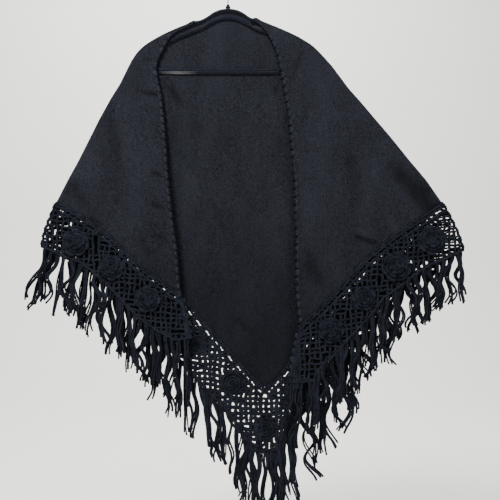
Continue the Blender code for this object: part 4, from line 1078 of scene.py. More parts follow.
class SHAWL_OT_build_edging(bpy.types.Operator):
    """Build the picot edging along the long edge, from one front's tip round the neck to the other's"""

    bl_idname = "shawl.build_edging"
    bl_label = "Picot edging"

    def execute(self, context):
        given = context.scene.shawl
        points, faces, loop = wool_sheet()
        normals = vertex_normals(points, faces)[loop]
        path = points[loop]
        keep = np.append(np.linalg.norm(np.diff(path, axis=0), axis=1) > 1e-5, True)
        path, normals = path[keep], normals[keep]
        ends = {}
        for part in ("front_left", "front_right"):
            last = len(BORDER[part]) - 1
            place = border_places(part, last, np.linspace(0.06, 0.94, 16))
            ends[part] = cloth_surface(part, place[:, 0], place[:, 1])
        path = np.concatenate([ends["front_left"][0][::-1], path, ends["front_right"][0]])
        normals = np.concatenate([ends["front_left"][1][::-1], normals, ends["front_right"][1]])
        lengths = lengths_along(path)
        marks = np.arange(0.5 * given.picot_pitch, lengths[-1], given.picot_pitch)
        fine = np.arange(0, lengths[-1], 0.004)
        size = edging_share("left", path[:, 2])
        smooth = {}
        for label, steps in (("marks", marks), ("fine", fine)):
            spread = [read_along(steps + o, lengths, path) for o in EDGE_SMOOTHED_OVER]
            smooth[label] = sum(spread) / len(spread)
        along = read_along(marks + 0.01, lengths, path) - read_along(marks - 0.01, lengths, path)
        facing = read_along(marks, lengths, normals)
        rng = np.random.default_rng(11)
        sizes = given.picot_reach * np.interp(marks, lengths, size) * rng.uniform(*PICOTS_VARY, len(marks))
        picots = place_shapes("picot_edging", picot_shape(), smooth["marks"], -along, facing, sizes,
                              MATERIALS["edging"])
        between = {}
        for label, values in (("at", smooth["marks"]), ("along", along), ("facing", facing)):
            between[label] = (values[1:] + values[:-1]) / 2
        outward = np.cross(between["along"], between["facing"])
        outward /= np.linalg.norm(outward, axis=1, keepdims=True)
        # Painted shade: a dark button in each eyelet stands in for the shade inside the hole
        eyelets = place_shapes(
            "picot_eyelets", eyelet_shade_shape(), between["at"] - outward * EYELET_SHADE_INSET, -between["along"],
            between["facing"], (sizes[1:] + sizes[:-1]) / 2, MATERIALS["shade"])
        finish_piece(eyelets, "crochet_yarn")
        width = np.interp(fine, lengths, size)
        out = np.cross(np.gradient(smooth["fine"], axis=0), read_along(fine, lengths, normals))
        out /= np.maximum(np.linalg.norm(out, axis=1, keepdims=True), 1e-9)
        chain = draw_yarn("picot_chain", [smooth["fine"] - out * CHAIN_INSET], [0.55 + 0.45 / width],
                          MATERIALS["yarn"], EDGE_CHAIN_YARN, EDGE_CHAIN_STITCH, 6, swell=0.25, knot=NO_KNOT)
        finish_piece(picots, "crochet_yarn", "edging_left", "edging_right", "edging_neck")
        finish_piece(chain, "crochet_yarn")
        return {"FINISHED"}


def inside(polygon, points):
    """True for each point inside a closed polygon."""
    x, y = points[:, 0][:, None], points[:, 1][:, None]
    ax, ay = polygon[:, 0], polygon[:, 1]
    bx, by = np.roll(ax, -1), np.roll(ay, -1)
    with np.errstate(divide="ignore", invalid="ignore"):
        crossing = ((ay > y) != (by > y)) & (x < (bx - ax) * (y - ay) / (by - ay) + ax)
    return crossing.sum(axis=1) % 2 == 1


def on_net(part, points):
    """True where the square net runs: between its two rows of arches and outside the roses."""
    last = len(BORDER[part]) - 1
    s = np.linspace(0, last, 160)
    ends = [border_places(part, s, NET_FROM), border_places(part, s[::-1], NET_TO)]
    if part == "back_right":
        other = len(BORDER["back_left"]) - 1
        ends.insert(1, border_places("back_left", other, np.array([NET_FROM, NET_TO])))
    polygon = np.concatenate(ends)
    good = inside(polygon, points)
    for rose in ROSES[part]:
        good &= np.hypot(points[:, 0] - rose.x, points[:, 1] - rose.z) > rose.radius + ROSE_RING
    return good


def unevenness(i, j):
    """Two offsets in -0.5..0.5 for each crossing, the same for every part, so that their meshes meet."""
    mixed = np.stack([i * 12.9898 + j * 78.233, i * 39.346 + j * 11.135], axis=-1)
    return (np.sin(mixed) * 43758.5453) % 1 - 0.5


def net_runs(part, pitch, rng, close=None):
    """Runs of yarn (x, z) of the square net, cut off where it meets its edges and the roses.

    The two layers share one grid. The back's crossings lie behind the middles of the front's openings.
    A close stretch, given as two values of x, has a second net between the meshes of the first.
    """
    area = border_places(part, np.linspace(0, len(BORDER[part]) - 1, 60)[:, None], np.array([0.0, 1.0]))
    low, high = area.reshape(-1, 2).min(axis=0), area.reshape(-1, 2).max(axis=0)
    first = np.floor((low - (POINT_X, 0)) / pitch).astype(int) - 6
    count = np.ceil((high - (POINT_X, 0)) / pitch).astype(int) - first + 2
    i, j = np.meshgrid(np.arange(count[0]) + first[0], np.arange(count[1]) + first[1], indexing="ij")
    shift = 0.5 if part.startswith("back") and not close else 0.0
    nodes = (np.stack([i, j], axis=-1) + shift + NET_UNEVEN * unevenness(i, j)) * pitch
    nodes[..., 1] += NET_RISE * np.abs(nodes[..., 0])
    nodes[..., 0] += POINT_X
    good = on_net(part, nodes.reshape(-1, 2)).reshape(i.shape)
    runs = []
    for axis in (0, 1):
        a = nodes[:-1] if axis == 0 else nodes[:, :-1]
        b = nodes[1:] if axis == 0 else nodes[:, 1:]
        in_a = good[:-1] if axis == 0 else good[:, :-1]
        in_b = good[1:] if axis == 0 else good[:, 1:]
        both = in_a & in_b & (rng.uniform(0, 1, in_a.shape) > NET_MISSED)
        if close:
            both = in_a & in_b & (a[..., 0] > close[0]) & (a[..., 0] < close[1])
        runs += [np.array([p, q]) for p, q in zip(a[both], b[both])]
        one = (in_a ^ in_b) & (not close)
        start = np.where(in_a[one][:, None], a[one], b[one])
        stop = np.where(in_a[one][:, None], b[one], a[one])
        known, beyond = start.copy(), stop.copy()
        for _ in range(7):
            middle = (known + beyond) / 2
            still = on_net(part, middle)[:, None]
            known, beyond = np.where(still, middle, known), np.where(still, beyond, middle)
        runs += [np.array([p, q]) for p, q in zip(start, known)]
    return runs


def arch_runs(part, rows, pitch):
    """Rows of elongated arches: a wavy chain at each outer edge, tied to the last one by staggered posts."""
    runs = []
    last = len(BORDER[part]) - 1
    steps = np.linspace(0, last, 240)
    for number, (start, stop) in enumerate(zip(rows, rows[1:])):
        shift = 0.5 * (number % 2)
        posts = stations_at(part, stop, pitch, shift)
        uneven = np.sin(2.7 * np.arange(len(posts)) + 4.0 * number)
        foot = np.clip(posts + (ARCH_SLANT + FOOT_UNEVEN * uneven) * np.gradient(posts), 0, last)
        posts = np.clip(posts + POST_UNEVEN * uneven * np.gradient(posts), 0, last)
        inner, outer = border_places(part, foot, start), border_places(part, posts, stop)
        runs += [np.array([p, q]) for p, q in zip(inner, outer)]
    for number, v in enumerate(rows[1:] if rows[0] == 0 else rows):
        posts = stations_at(part, v, pitch, 0.5 * (number % 2))
        phase = np.interp(steps, posts, np.arange(len(posts)))
        line = border_places(part, steps, v + CHAIN_WAVE * np.cos(math.tau * phase))
        runs.append(even_steps(line, CHAIN_STITCH))
    return runs


def border_runs(part, pitch, rng):
    """Every run of yarn in one part of the border, as places (x, z), with its width."""
    thick = BACK_YARN if part.startswith("back") else 1.0
    runs = [(run, thick) for run in net_runs(part, pitch, rng)]
    if part in CLOSE_NET:
        runs += [(run, CLOSE_YARN) for run in net_runs(part, pitch, rng, CLOSE_NET[part])]
    if part == "back_right":
        ends = [len(BORDER[name]) - 1 for name in ("back_left", "back_right")]
        for v in HEM_ROWS + RIM_ROWS:
            across = [border_places("back_left", ends[0], v), border_places(part, ends[1], v)]
            runs.append((np.array(across), 1.0))
    runs += [(run, ARCH_YARN) for run in arch_runs(part, HEM_ROWS, HEM_PITCH)]
    runs += [(run, RIM_YARN) for run in arch_runs(part, RIM_ROWS, RIM_PITCH)]
    last = len(BORDER[part]) - 1
    steps = np.linspace(0, last, 300)
    runs.append((even_steps(border_places(part, steps, HEM_CHAIN_AT), CHAIN_STITCH), 1.0))
    for k in range(4 if part.startswith("front") else 0):
        end = border_places(part, last - k * TIP_STEP[part], np.linspace(0, 1, 30))
        runs.append((even_steps(end, CHAIN_STITCH), TIP_YARN))
    for rose in ROSES[part]:
        turn = np.linspace(0, math.tau, 40)
        circle = np.stack([np.cos(turn), np.sin(turn)], axis=1)
        ring = circle * (rose.radius + ROSE_RING) + (rose.x, rose.z)
        runs.append((ring, ROSE_RING_YARN))
    return runs


def fold_scallops(side):
    """Small loops that stand out from the border along its fold."""
    part = "back_" + side
    posts = border_places(part, 0.0, np.linspace(0, 1, 7))
    runs = []
    for a, b in zip(posts, posts[1:]):
        t = np.linspace(0, 1, 7)[:, None]
        arc = a + (b - a) * t
        arc[:, 0] += SIGN[side] * SCALLOP_REACH * np.sin(math.pi * t[:, 0])
        runs.append(np.stack([arc[:, 0], 0 * arc[:, 0], arc[:, 1]], axis=1))
    return runs


class SHAWL_OT_build_net(bpy.types.Operator):
    """Build the crocheted net of the border, one piece for each front and each half of the back"""

    bl_idname = "shawl.build_net"
    bl_label = "Crocheted border"

    def execute(self, context):
        given = context.scene.shawl
        for number, part in enumerate(BORDER):
            rng = np.random.default_rng(20 + number)
            runs, widths = [], []
            for run, width in border_runs(part, given.net_pitch, rng):
                x = run[:, 0].mean()
                width *= 1 - sum(most * smoothstep((x - start) / reach) for start, reach, most in OPEN_NET)
                if len(run) == 2:
                    middle = run.mean(axis=0) + rng.normal(0, NET_SHAKE, 2)
                    run = np.array([run[0], middle, run[1]])
                place, _ = cloth_surface(border_panel(part), run[:, 0], run[:, 1])
                runs.append(place)
                widths.append(width)
            nodes = ["border_" + part]
            if part.startswith("back"):
                side = part.split("_")[1]
                loops = fold_scallops(side)
                runs += loops
                widths += [1.0] * len(loops)
                nodes.append("border_fold_" + side)
            obj = draw_yarn("net_" + part, runs, widths, MATERIALS["yarn"], given.yarn_width,
                            NET_STITCH, 5, swell=NET_SWELL, knot=given.yarn_width * NET_KNOT)
            finish_piece(obj, "crochet_yarn", *nodes)
        return {"FINISHED"}


def petal(angle, share, inner, outer, base, lift, cup, phase, thickness=0.065):
    """One cupped petal as a closed body round the rose's middle, for a rose of radius 1."""
    u, t = np.meshgrid(np.linspace(-1, 1, 9), np.linspace(0, 1, 6))
    rim = 1 - 0.20 * np.abs(u) ** 2.4
    r = inner + (outer - inner) * t * rim
    a = angle + u * share * (0.50 + 0.50 * np.sin(math.pi * (0.15 + 0.55 * t)))
    rib = 0.012 * np.cos(u * math.pi * 4.5) * smoothstep(t * 2)
    height = base + lift * t**1.6 + cup * u**2 * t + 0.035 * t**2 * np.sin(3 * u + phase) + rib
    upper = np.stack([r * np.cos(a), r * np.sin(a), height], axis=-1)
    lower = upper - np.array([0, 0, thickness]) * (1 - 0.35 * t[..., None])
    return closed_patch(np.stack([upper, lower]))


def tube(path, radius, sides=6):
    """A closed tube along a path of points."""
    along = np.gradient(path, axis=0)
    along /= np.linalg.norm(along, axis=1, keepdims=True)
    flat = np.cross(along, [0, 0, 1.0])
    flat /= np.maximum(np.linalg.norm(flat, axis=1, keepdims=True), 1e-9)
    up = np.cross(flat, along)
    turn = np.arange(sides) * math.tau / sides
    ends = np.ones(len(path))
    ends[[0, -1]] = 0.35
    ring = (flat[:, None] * np.cos(turn)[:, None] + up[:, None] * np.sin(turn)[:, None])
    points = path[:, None] + ring * radius * ends[:, None, None]
    ids = np.arange(len(path) * sides).reshape(len(path), sides)
    after = np.roll(ids, -1, axis=1)
    faces = np.stack([ids[:-1], after[:-1], after[1:], ids[1:]], axis=-1).reshape(-1, 4).tolist()
    faces += [ids[0].tolist()[::-1], ids[-1].tolist()]
    points = points.reshape(-1, 3)
    first = np.array(faces[:-2])
    a, b, c = (points[first[:, k]] for k in range(3))
    if np.sum((a - path.mean(axis=0)) * np.cross(b - a, c - a)) < 0:
        faces = [face[::-1] for face in faces]
    return points, faces


def rose_shape(rng):
    """A crocheted rose of radius 1: three tiers of cupped petals round a coiled heart, and a flat rear."""
    bodies = []
    for count, inner, outer, base, lift, cup in ROSE_TIERS:
        for k in range(count):
            angle = (k + 0.5 * (count % 2)) * math.tau / count + rng.normal(0, PETAL_TURNS)
            reach = outer * rng.uniform(*PETAL_REACHES)
            own_lift = lift * rng.uniform(*PETAL_LIFTS)
            bodies.append(petal(angle, math.pi / count * PETALS_OVERLAP, inner, reach, base, own_lift, cup,
                                rng.uniform(0, math.tau)))
    turns, inner, winds_out, half_width = HEART_COIL
    turn = np.linspace(0, math.tau * turns, 44)
    r = inner + winds_out * turn / turn[-1]
    bodies.append(tube(np.stack([r * np.cos(turn), r * np.sin(turn), 0.27 - 0.30 * r], axis=1), half_width))
    bodies.append(lathe([(0.02, -0.05), (0.72, -0.05), (0.76, 0.0), (0.70, 0.04), (0.02, 0.04)], 14, 1.0))
    turns, inner, winds_out, half_width = UNDER_COIL
    turn = np.linspace(0, math.tau * turns, 66)
    r = inner + winds_out * turn / turn[-1]
    bodies.append(tube(np.stack([
        r * np.cos(turn), r * np.sin(turn), -0.10 - 0.025 * np.cos(turn * 7)], axis=1), half_width))
    points, faces, count = [], [], 0
    for own, quads in bodies:
        points.append(own)
        faces += [tuple(int(i) + count for i in quad) for quad in quads]
        count += len(own)
    return np.concatenate(points), faces


class SHAWL_OT_build_roses(bpy.types.Operator):
    """Build the crocheted roses on the border"""

    bl_idname = "shawl.build_roses"
    bl_label = "Roses"

    def execute(self, context):
        for number, (part, roses) in enumerate(ROSES.items()):
            panel = border_panel(part)
            places = np.array([(rose.x, rose.z) for rose in roses])
            points, facing = cloth_surface(panel, places[:, 0], places[:, 1])
            turn = np.array([rose.turn for rose in roses]) + number
            aim = np.stack([np.cos(turn), 0 * turn, np.sin(turn)], axis=1)
            size = np.array([rose.radius for rose in roses]) * ROSE_SPREAD
            shape = rose_shape(np.random.default_rng(40 + number))
            obj = place_shapes("roses_" + part, shape, points + facing * ROSE_SEAT, aim, facing, size,
                               MATERIALS["rose"])
            finish_piece(obj, "crochet_yarn", *(f"rose_{part}_{k}" for k in range(1, len(roses) + 1)))
        return {"FINISHED"}


def fringe_yarns(part, number, given, rng):
    """Centre lines of the fringe's yarns, bundle by bundle, and where each bundle is knotted on."""
    last = len(BORDER[part]) - 1
    panel = border_panel(part)
    steps = np.linspace(0.08, last, 400)
    rim = border_places(part, steps, 1.0)
    lengths = lengths_along(rim)
    marks, mark = [], given.fringe_pitch / 2
    while mark < lengths[-1]:
        marks.append(mark)
        across, down = (np.interp(mark, lengths, rim[:, k]) for k in (0, 1))
        dense = down < POINT_FROM_Z or (part == "front_right" and across < DENSE_TO_X)
        mark += given.fringe_pitch * (POINT_FRINGE if dense else rng.uniform(*BUNDLE_PITCHES))
    table = LEANS[part]
    runs, widths, knots = [], [], []
    for lock, mark in enumerate(marks):
        root = np.array([np.interp(mark, lengths, rim[:, k]) for k in (0, 1)])
        place, normal = cloth_surface(panel, *root)
        lean = np.interp(root[0], [row.x for row in table], [row.lean for row in table])
        reach = np.interp(root[0], [row[0] for row in FRINGE_REACH], [row[1] for row in FRINGE_REACH])
        whole = given.fringe_length * reach * (1 + LOCK_LENGTH_VARIES * math.sin(2.4 * lock + 1.3 * number))
        knots.append((place, normal))
        bundle_lean = lean + rng.normal(0, BUNDLE_LEAN)
        bend, phase = rng.normal(0, BUNDLE_BEND, 2), rng.uniform(0, math.tau, 2)
        waves = rng.uniform(*BUNDLE_WAVES)
        ends = rng.integers(YARNS_FROM, YARNS_BELOW)
        part_from = rng.uniform(*PARTS_FROM)
        for yarn in range(ends):
            t = np.linspace(0, 1, FRINGE_STEPS)
            length = whole * rng.uniform(*YARN_LENGTHS)
            offset = ((yarn + 0.5) / ends - 0.5) * YARN_SPACING * (ends + 2)
            split = rng.normal(0, YARN_SPLIT, 2)[:, None] * smoothstep((t - part_from) / (1.15 - part_from))
            own = rng.uniform(0, math.tau, 4)
            wave = rng.normal(0, YARN_WAVE) * np.sin(t * math.tau * 1.3 + own[1])
            shared = bend[0] * (np.sin(t * math.tau * waves + phase[0]) - np.sin(phase[0]))
            shared = shared * np.minimum(1, 2.5 * t)
            curl = rng.normal(0, YARN_CURL) * smoothstep((t - 0.80) / 0.20) ** 2
            gather = 1 - 0.25 * np.sin(math.pi * np.clip(t / 0.5, 0, 1))
            x = place[0] + offset * gather + bundle_lean * length * t + shared + wave + split[0] + curl
            y = place[1] + bend[1] * 0.4 * t + YARN_SPACING * np.sin(own[2] + yarn * 2.4) * gather
            y = y + split[1] * 0.35
            z = place[2] - 0.001 - length * t + abs(curl) * 0.3
            runs.append(np.stack([x, y + 0 * t, z], axis=1))
            widths.append((1 - 0.08 * t) * rng.uniform(*YARN_WIDTHS))
    return runs, widths, knots


def knot_shape():
    """The hitch that ties a bundle on: two humps side by side with a band across, for a size of 1."""
    sides = 10
    turn, rise = np.meshgrid(np.linspace(0, math.tau, sides + 1)[:-1], np.linspace(-0.5, 0.5, 6) * math.pi)
    bulge = 1 + 0.20 * np.cos(2 * turn) + 0.16 * np.cos(3 * rise)
    x = 0.52 * np.cos(rise) * np.cos(turn) * bulge
    y = 0.36 * np.cos(rise) * np.sin(turn) * bulge
    points = np.stack([x, 0.50 * np.sin(rise), y], axis=-1)
    ids = np.arange(points.shape[0] * sides).reshape(-1, sides)
    after = np.roll(ids, -1, axis=1)
    faces = np.stack([ids[:-1], after[:-1], after[1:], ids[1:]], axis=-1).reshape(-1, 4)
    faces = faces[sides:-sides].tolist()
    for k in range(sides):
        faces.append([0, int(after[1, k]), int(ids[1, k])])
        faces.append([ids.size - 1, int(ids[-2, k]), int(after[-2, k])])
    used = sorted({i for face in faces for i in face})
    order = {old: new for new, old in enumerate(used)}
    return points.reshape(-1, 3)[used], [[order[i] for i in face][::-1] for face in faces]


class SHAWL_OT_build_fringe(bpy.types.Operator):
    """Build the yarn fringe along the border's rim"""

    bl_idname = "shawl.build_fringe"
    bl_label = "Yarn fringe"

    def execute(self, context):
        given = context.scene.shawl
        for number, part in enumerate(BORDER):
            rng = np.random.default_rng(60 + number)
            runs, widths, knots = fringe_yarns(part, number, given, rng)
            obj = draw_yarn("fringe_yarns_" + part, runs, widths, MATERIALS["yarn"], given.fringe_yarn_width,
                            FRINGE_STITCH, 6, roundness=0.9, twist=FRINGE_TWIST, knot=NO_KNOT)
            points = np.array([place for place, _ in knots])
            facing = np.array([normal for _, normal in knots])
            aim = np.tile([1.0, 0.0, 0.0], (len(knots), 1))
            size = rng.uniform(*KNOT_SIZE, len(knots))
            ties = place_shapes("fringe_knots_" + part, knot_shape(), points, aim, facing, size,
                                MATERIALS["yarn"])
            finish_piece(obj, "crochet_yarn", "fringe_" + part)
            finish_piece(ties, "crochet_yarn")
        return {"FINISHED"}


def rounded_loop(loop, times=2):
    """A closed polyline with its corners cut smooth."""
    for _ in range(times):
        after = np.roll(loop, -1, axis=0)
        loop = np.stack([loop * 0.75 + after * 0.25, loop * 0.25 + after * 0.75], axis=1).reshape(-1, 2)
    return loop


def offset_loop(loop, distance):
    """A closed clockwise loop of places moved inwards by a distance."""
    before, after = np.roll(loop, 1, axis=0), np.roll(loop, -1, axis=0)
    first, second = loop - before, after - loop
    first /= np.linalg.norm(first, axis=1, keepdims=True)
    second /= np.linalg.norm(second, axis=1, keepdims=True)
    normal = np.stack([first[:, 1] + second[:, 1], -first[:, 0] - second[:, 0]], axis=1)
    normal /= np.linalg.norm(normal, axis=1, keepdims=True)
    cosine = np.sum(normal * np.stack([first[:, 1], -first[:, 0]], axis=1), axis=1)
    return loop + normal * (distance / cosine)[:, None]


def hanger_body():
    """The moulded frame with crowned edges: points and faces."""
    loops = []
    for half in (ARM_TOP, ARM_INSIDE):
        right = [(p.x, p.z) for p in half]
        left = [(-p.x, p.z) for p in half if p.x > 0]
        loops.append(rounded_loop(np.array(right + left[::-1])))
    profile = [(inset, -HANGER_THICK / 2 * y) for inset, y in HANGER_CROWN[::-1]]
    profile += [(inset, HANGER_THICK / 2 * y) for inset, y in HANGER_CROWN[1:]]
    points, faces, caps = [], [], {0: [], -1: []}
    for loop, sign in zip(loops, (1, -1)):
        rings = []
        for inset, y in profile:
            ring = offset_loop(loop, sign * inset)
            rings.append(np.arange(len(points), len(points) + len(ring)))
            points += [(x, y, z) for x, z in ring]
        for lower, upper in zip(rings, rings[1:]):
            quads = np.stack([lower, np.roll(lower, -1), np.roll(upper, -1), upper], axis=-1)
            faces += quads[:, ::-sign].tolist()
        for end in caps:
            caps[end].append(rings[end].tolist())
    for end, cap in caps.items():
        ids = cap[0] + cap[1]
        split = len(cap[0])
        _, triangles = triangles_between([(points[i][0], points[i][2]) for i in ids],
                                         [range(split), range(split, len(ids))])
        faces += [[ids[k] for k in (t if end == 0 else t[::-1])] for t in triangles]
    return np.array(points), faces


def lathe(profile, sides, flatten):
    """A closed turned body round Z from (radius, height) pairs, flattened along Y."""
    turn = np.arange(sides) * math.tau / sides
    rings = [[(r * math.cos(a), r * math.sin(a) * flatten, z) for a in turn] for r, z in profile]
    points = np.array(rings).reshape(-1, 3)
    ids = np.arange(len(points)).reshape(len(profile), sides)
    after = np.roll(ids, -1, axis=1)
    faces = np.stack([ids[:-1], after[:-1], after[1:], ids[1:]], axis=-1).reshape(-1, 4).tolist()
    return points, faces + [ids[0].tolist()[::-1], ids[-1].tolist()]


def hook_route():
    """Middle line of the hook's wire, as in the solids, with its corners cut smooth."""
    radius = HOOK_INNER_RADIUS + HOOK_WIRE / 2
    route = [(0.0, COLLAR_TOP_Z + 0.0003), (0.0, HOOK_STEM_BEND_Z - 0.008), (0.0012, HOOK_STEM_BEND_Z)]
    low = math.radians(HOOK_STARTS_AT)
    end = np.array([radius * math.cos(low), -HOOK_INNER_RADIUS + radius * math.sin(low)])
    start = np.array(route[-1])
    for t in (0.33, 0.66):
        bow = HOOK_STEM_BOW * math.sin(math.tau * t)
        route.append(tuple(start + (end - start) * t + np.array([bow, -bow])))
    for angle in np.linspace(low, math.radians(HOOK_ENDS_AT), 13):
        route.append((radius * math.cos(angle), -HOOK_INNER_RADIUS + radius * math.sin(angle)))
    route = np.array(route)
    for _ in range(2):
        cut = np.stack([route[:-1] * 0.75 + route[1:] * 0.25, route[:-1] * 0.25 + route[1:] * 0.75], axis=1)
        route = np.concatenate([route[:1], cut.reshape(-1, 2), route[-1:]])
    return np.stack([route[:, 0], 0 * route[:, 0], route[:, 1]], axis=1)


class SHAWL_OT_build_hanger(bpy.types.Operator):
    """Build the slim flocked hanger with its collar and wire hook"""

    bl_idname = "shawl.build_hanger"
    bl_label = "Hanger"

    def execute(self, context):
        points, faces = hanger_body()
        finish_piece(add_object("hanger_moulding", points, faces, material=MATERIALS["flock"]),
                     "flocked_plastic", "hanger_frame")
        points, faces = lathe(COLLAR_PROFILE, 28, COLLAR_FLATTEN)
        finish_piece(add_object("hanger_neck_collar", points, faces, material=MATERIALS["flock"]),
                     "flocked_plastic", "hanger_collar")
        wire = draw_yarn("hook_wire_bent", [hook_route()], [1.0], MATERIALS["steel"], HOOK_WIRE, 0.0016, 14)
        finish_piece(wire, "hook_wire", "hanger_hook")
        return {"FINISHED"}


def surface(name, colour, roughness, metallic=0.0, sheen=0.0, sheen_roughness=0.4, specular=0.5):
    """A material with its shader's plain values set, and its tree for the rest."""
    material = bpy.data.materials.new(name)
    material.use_nodes = True
    tree = material.node_tree
    shader = tree.nodes["Principled BSDF"]
    for label, value in (
        ("Base Color", colour), ("Roughness", roughness), ("Metallic", metallic), ("Sheen Weight", sheen),
        ("Sheen Roughness", sheen_roughness), ("Sheen Tint", SHEEN_TINT), ("Specular IOR Level", specular),
    ):
        shader.inputs[label].default_value = value
    material.diffuse_color = colour
    return material, tree, shader


def tone(tree, factor, colour, spread):
    """Colours from darker to lighter than the given one, read by a factor from 0 to 1."""
    ramp = put(tree, "ShaderNodeValToRGB", {"Fac": factor})
    ramp.color_ramp.elements[0].color = [c * (1 - spread) for c in colour[:3]] + [1.0]
    ramp.color_ramp.elements[1].color = [min(1.0, c * (1 + spread)) for c in colour[:3]] + [1.0]
    return ramp.outputs["Color"]


def noise_at(tree, place, scale, detail=3.0, stretch=(1.0, 1.0, 1.0), rough=0.55):
    """Noise over the object with so many features to the metre, wider where its stretch is below 1."""
    mapped = put(tree, "ShaderNodeMapping", {"Vector": place, "Scale": stretch})
    return put(tree, "ShaderNodeTexNoise", {
        "Vector": mapped.outputs[0], "Scale": scale, "Detail": detail, "Roughness": rough,
    }).outputs[0]


def finish_cloth(tree, shader, colour, light, height, distance, strength):
    """Sets a cloth's shaded colour and its bump: how far the fibres stand up, and how much of it shows."""
    grey = put(tree, "ShaderNodeCombineXYZ", {axis: light for axis in "XYZ"})
    shade = put(tree, "ShaderNodeVectorMath", {0: colour, 1: grey.outputs[0]}, operation="MULTIPLY")
    tree.links.new(shade.outputs[0], shader.inputs["Base Color"])
    bump = put(tree, "ShaderNodeBump", {"Height": height, "Distance": distance, "Strength": strength})
    tree.links.new(bump.outputs[0], shader.inputs["Normal"])


def wool_material(colour):
    """Brushed wool knit: raised fibres hide the stitches and give a soft, speckled, cloudy black. Its colour
    has painted shade in the creases, on the back layer and towards the bottom.
    """
    material, tree, shader = surface("brushed wool knit", colour, 0.95, sheen=0.13, sheen_roughness=0.4,
                                     specular=0.06)
    place = put(tree, "ShaderNodeTexCoord").outputs["Object"]
    fibre = noise_at(tree, place, WOOL_TUFTS, 2.0, (1.0, 1.0, 0.8), 0.6)
    grain = noise_at(tree, place, WOOL_GRAIN, 2.0, (1.0, 1.0, 0.25))
    cloud = noise_at(tree, place, WOOL_CLOUDS, 2.5, (1.0, 1.0, 0.4))
    mixed = 0.08
    for noise, share in ((fibre, 0.52), (grain, 0.12), (cloud, 0.17)):
        sum_so_far = {0: noise, 1: share, 2: mixed}
        mixed = put(tree, "ShaderNodeMath", sum_so_far, operation="MULTIPLY_ADD").outputs[0]
    steep = put(tree, "ShaderNodeMapRange", {"Value": mixed, "From Min": 0.34, "From Max": 0.64})
    axes = put(tree, "ShaderNodeSeparateXYZ", {"Vector": place})
    # Painted shade: darker colour on the back layer, and towards the bottom
    inner = put(tree, "ShaderNodeMapRange", {
        "Value": axes.outputs["Y"], "From Min": -0.003, "From Max": 0.003, "To Min": 1.0,
        "To Max": BACK_LIGHT})
    low = put(tree, "ShaderNodeMapRange", {
        "Value": axes.outputs["Z"], "From Min": LOW_BACK_Z[0], "From Max": LOW_BACK_Z[1],
        "To Min": LOW_BACK_LIGHT, "To Max": 1.0})
    # Painted shade in the creases: the colour darkens with the trough depth
    trough = put(tree, "ShaderNodeAttribute", attribute_name="trough")
    lit = put(tree, "ShaderNodeMath", {0: trough.outputs["Fac"], 1: -TROUGH_SHADE, 2: 1.0},
              operation="MULTIPLY_ADD")
    light = lit.outputs[0]
    for share in (inner, low):
        factors = {0: light, 1: share.outputs[0]}
        light = put(tree, "ShaderNodeMath", factors, operation="MULTIPLY").outputs[0]
    tones = tone(tree, steep.outputs[0], colour, 0.85)
    finish_cloth(tree, shader, tones, light, mixed, 0.0022, 0.7)
    return material


def yarn_material(name, colour, spread):
    """Plied wool yarn, matte, with painted light: a lighter colour on its crown as seen from the front or
    back, and painted shade on its sides.
    """
    material, tree, shader = surface(name, colour, 0.9, sheen=0.03, sheen_roughness=0.4, specular=0.05)
    place = put(tree, "ShaderNodeTexCoord").outputs["Object"]
    fibre = noise_at(tree, place, YARN_FUZZ, 3.0, rough=0.7)
    cloud = noise_at(tree, place, YARN_CLOUDS, 2.0)
    mixed = 0.0
    for noise, share in ((fibre, 0.7), (cloud, 0.3)):
        sum_so_far = {0: noise, 1: share, 2: mixed}
        mixed = put(tree, "ShaderNodeMath", sum_so_far, operation="MULTIPLY_ADD").outputs[0]
    steep = put(tree, "ShaderNodeMapRange", {"Value": mixed, "From Min": 0.36, "From Max": 0.66})
    # Painted light: the colour is multiplied up where the normal faces along Y, and down on the yarn's sides
    facing = put(tree, "ShaderNodeNewGeometry").outputs["Normal"]
    outward = put(tree, "ShaderNodeVectorMath", {0: facing, 1: (0.0, 1.0, 0.0)}, operation="DOT_PRODUCT")
    crown = put(tree, "ShaderNodeMath", {0: outward.outputs["Value"]}, operation="ABSOLUTE")
    light = put(tree, "ShaderNodeMapRange", {
        "Value": crown.outputs[0], "From Min": 0.50, "From Max": 0.98, "To Min": YARN_SIDE_LIGHT,
        "To Max": YARN_CROWN_LIGHT})
    tones = tone(tree, steep.outputs[0], colour, spread)
    finish_cloth(tree, shader, tones, light.outputs[0], fibre, 0.0008, 0.6)
    return material


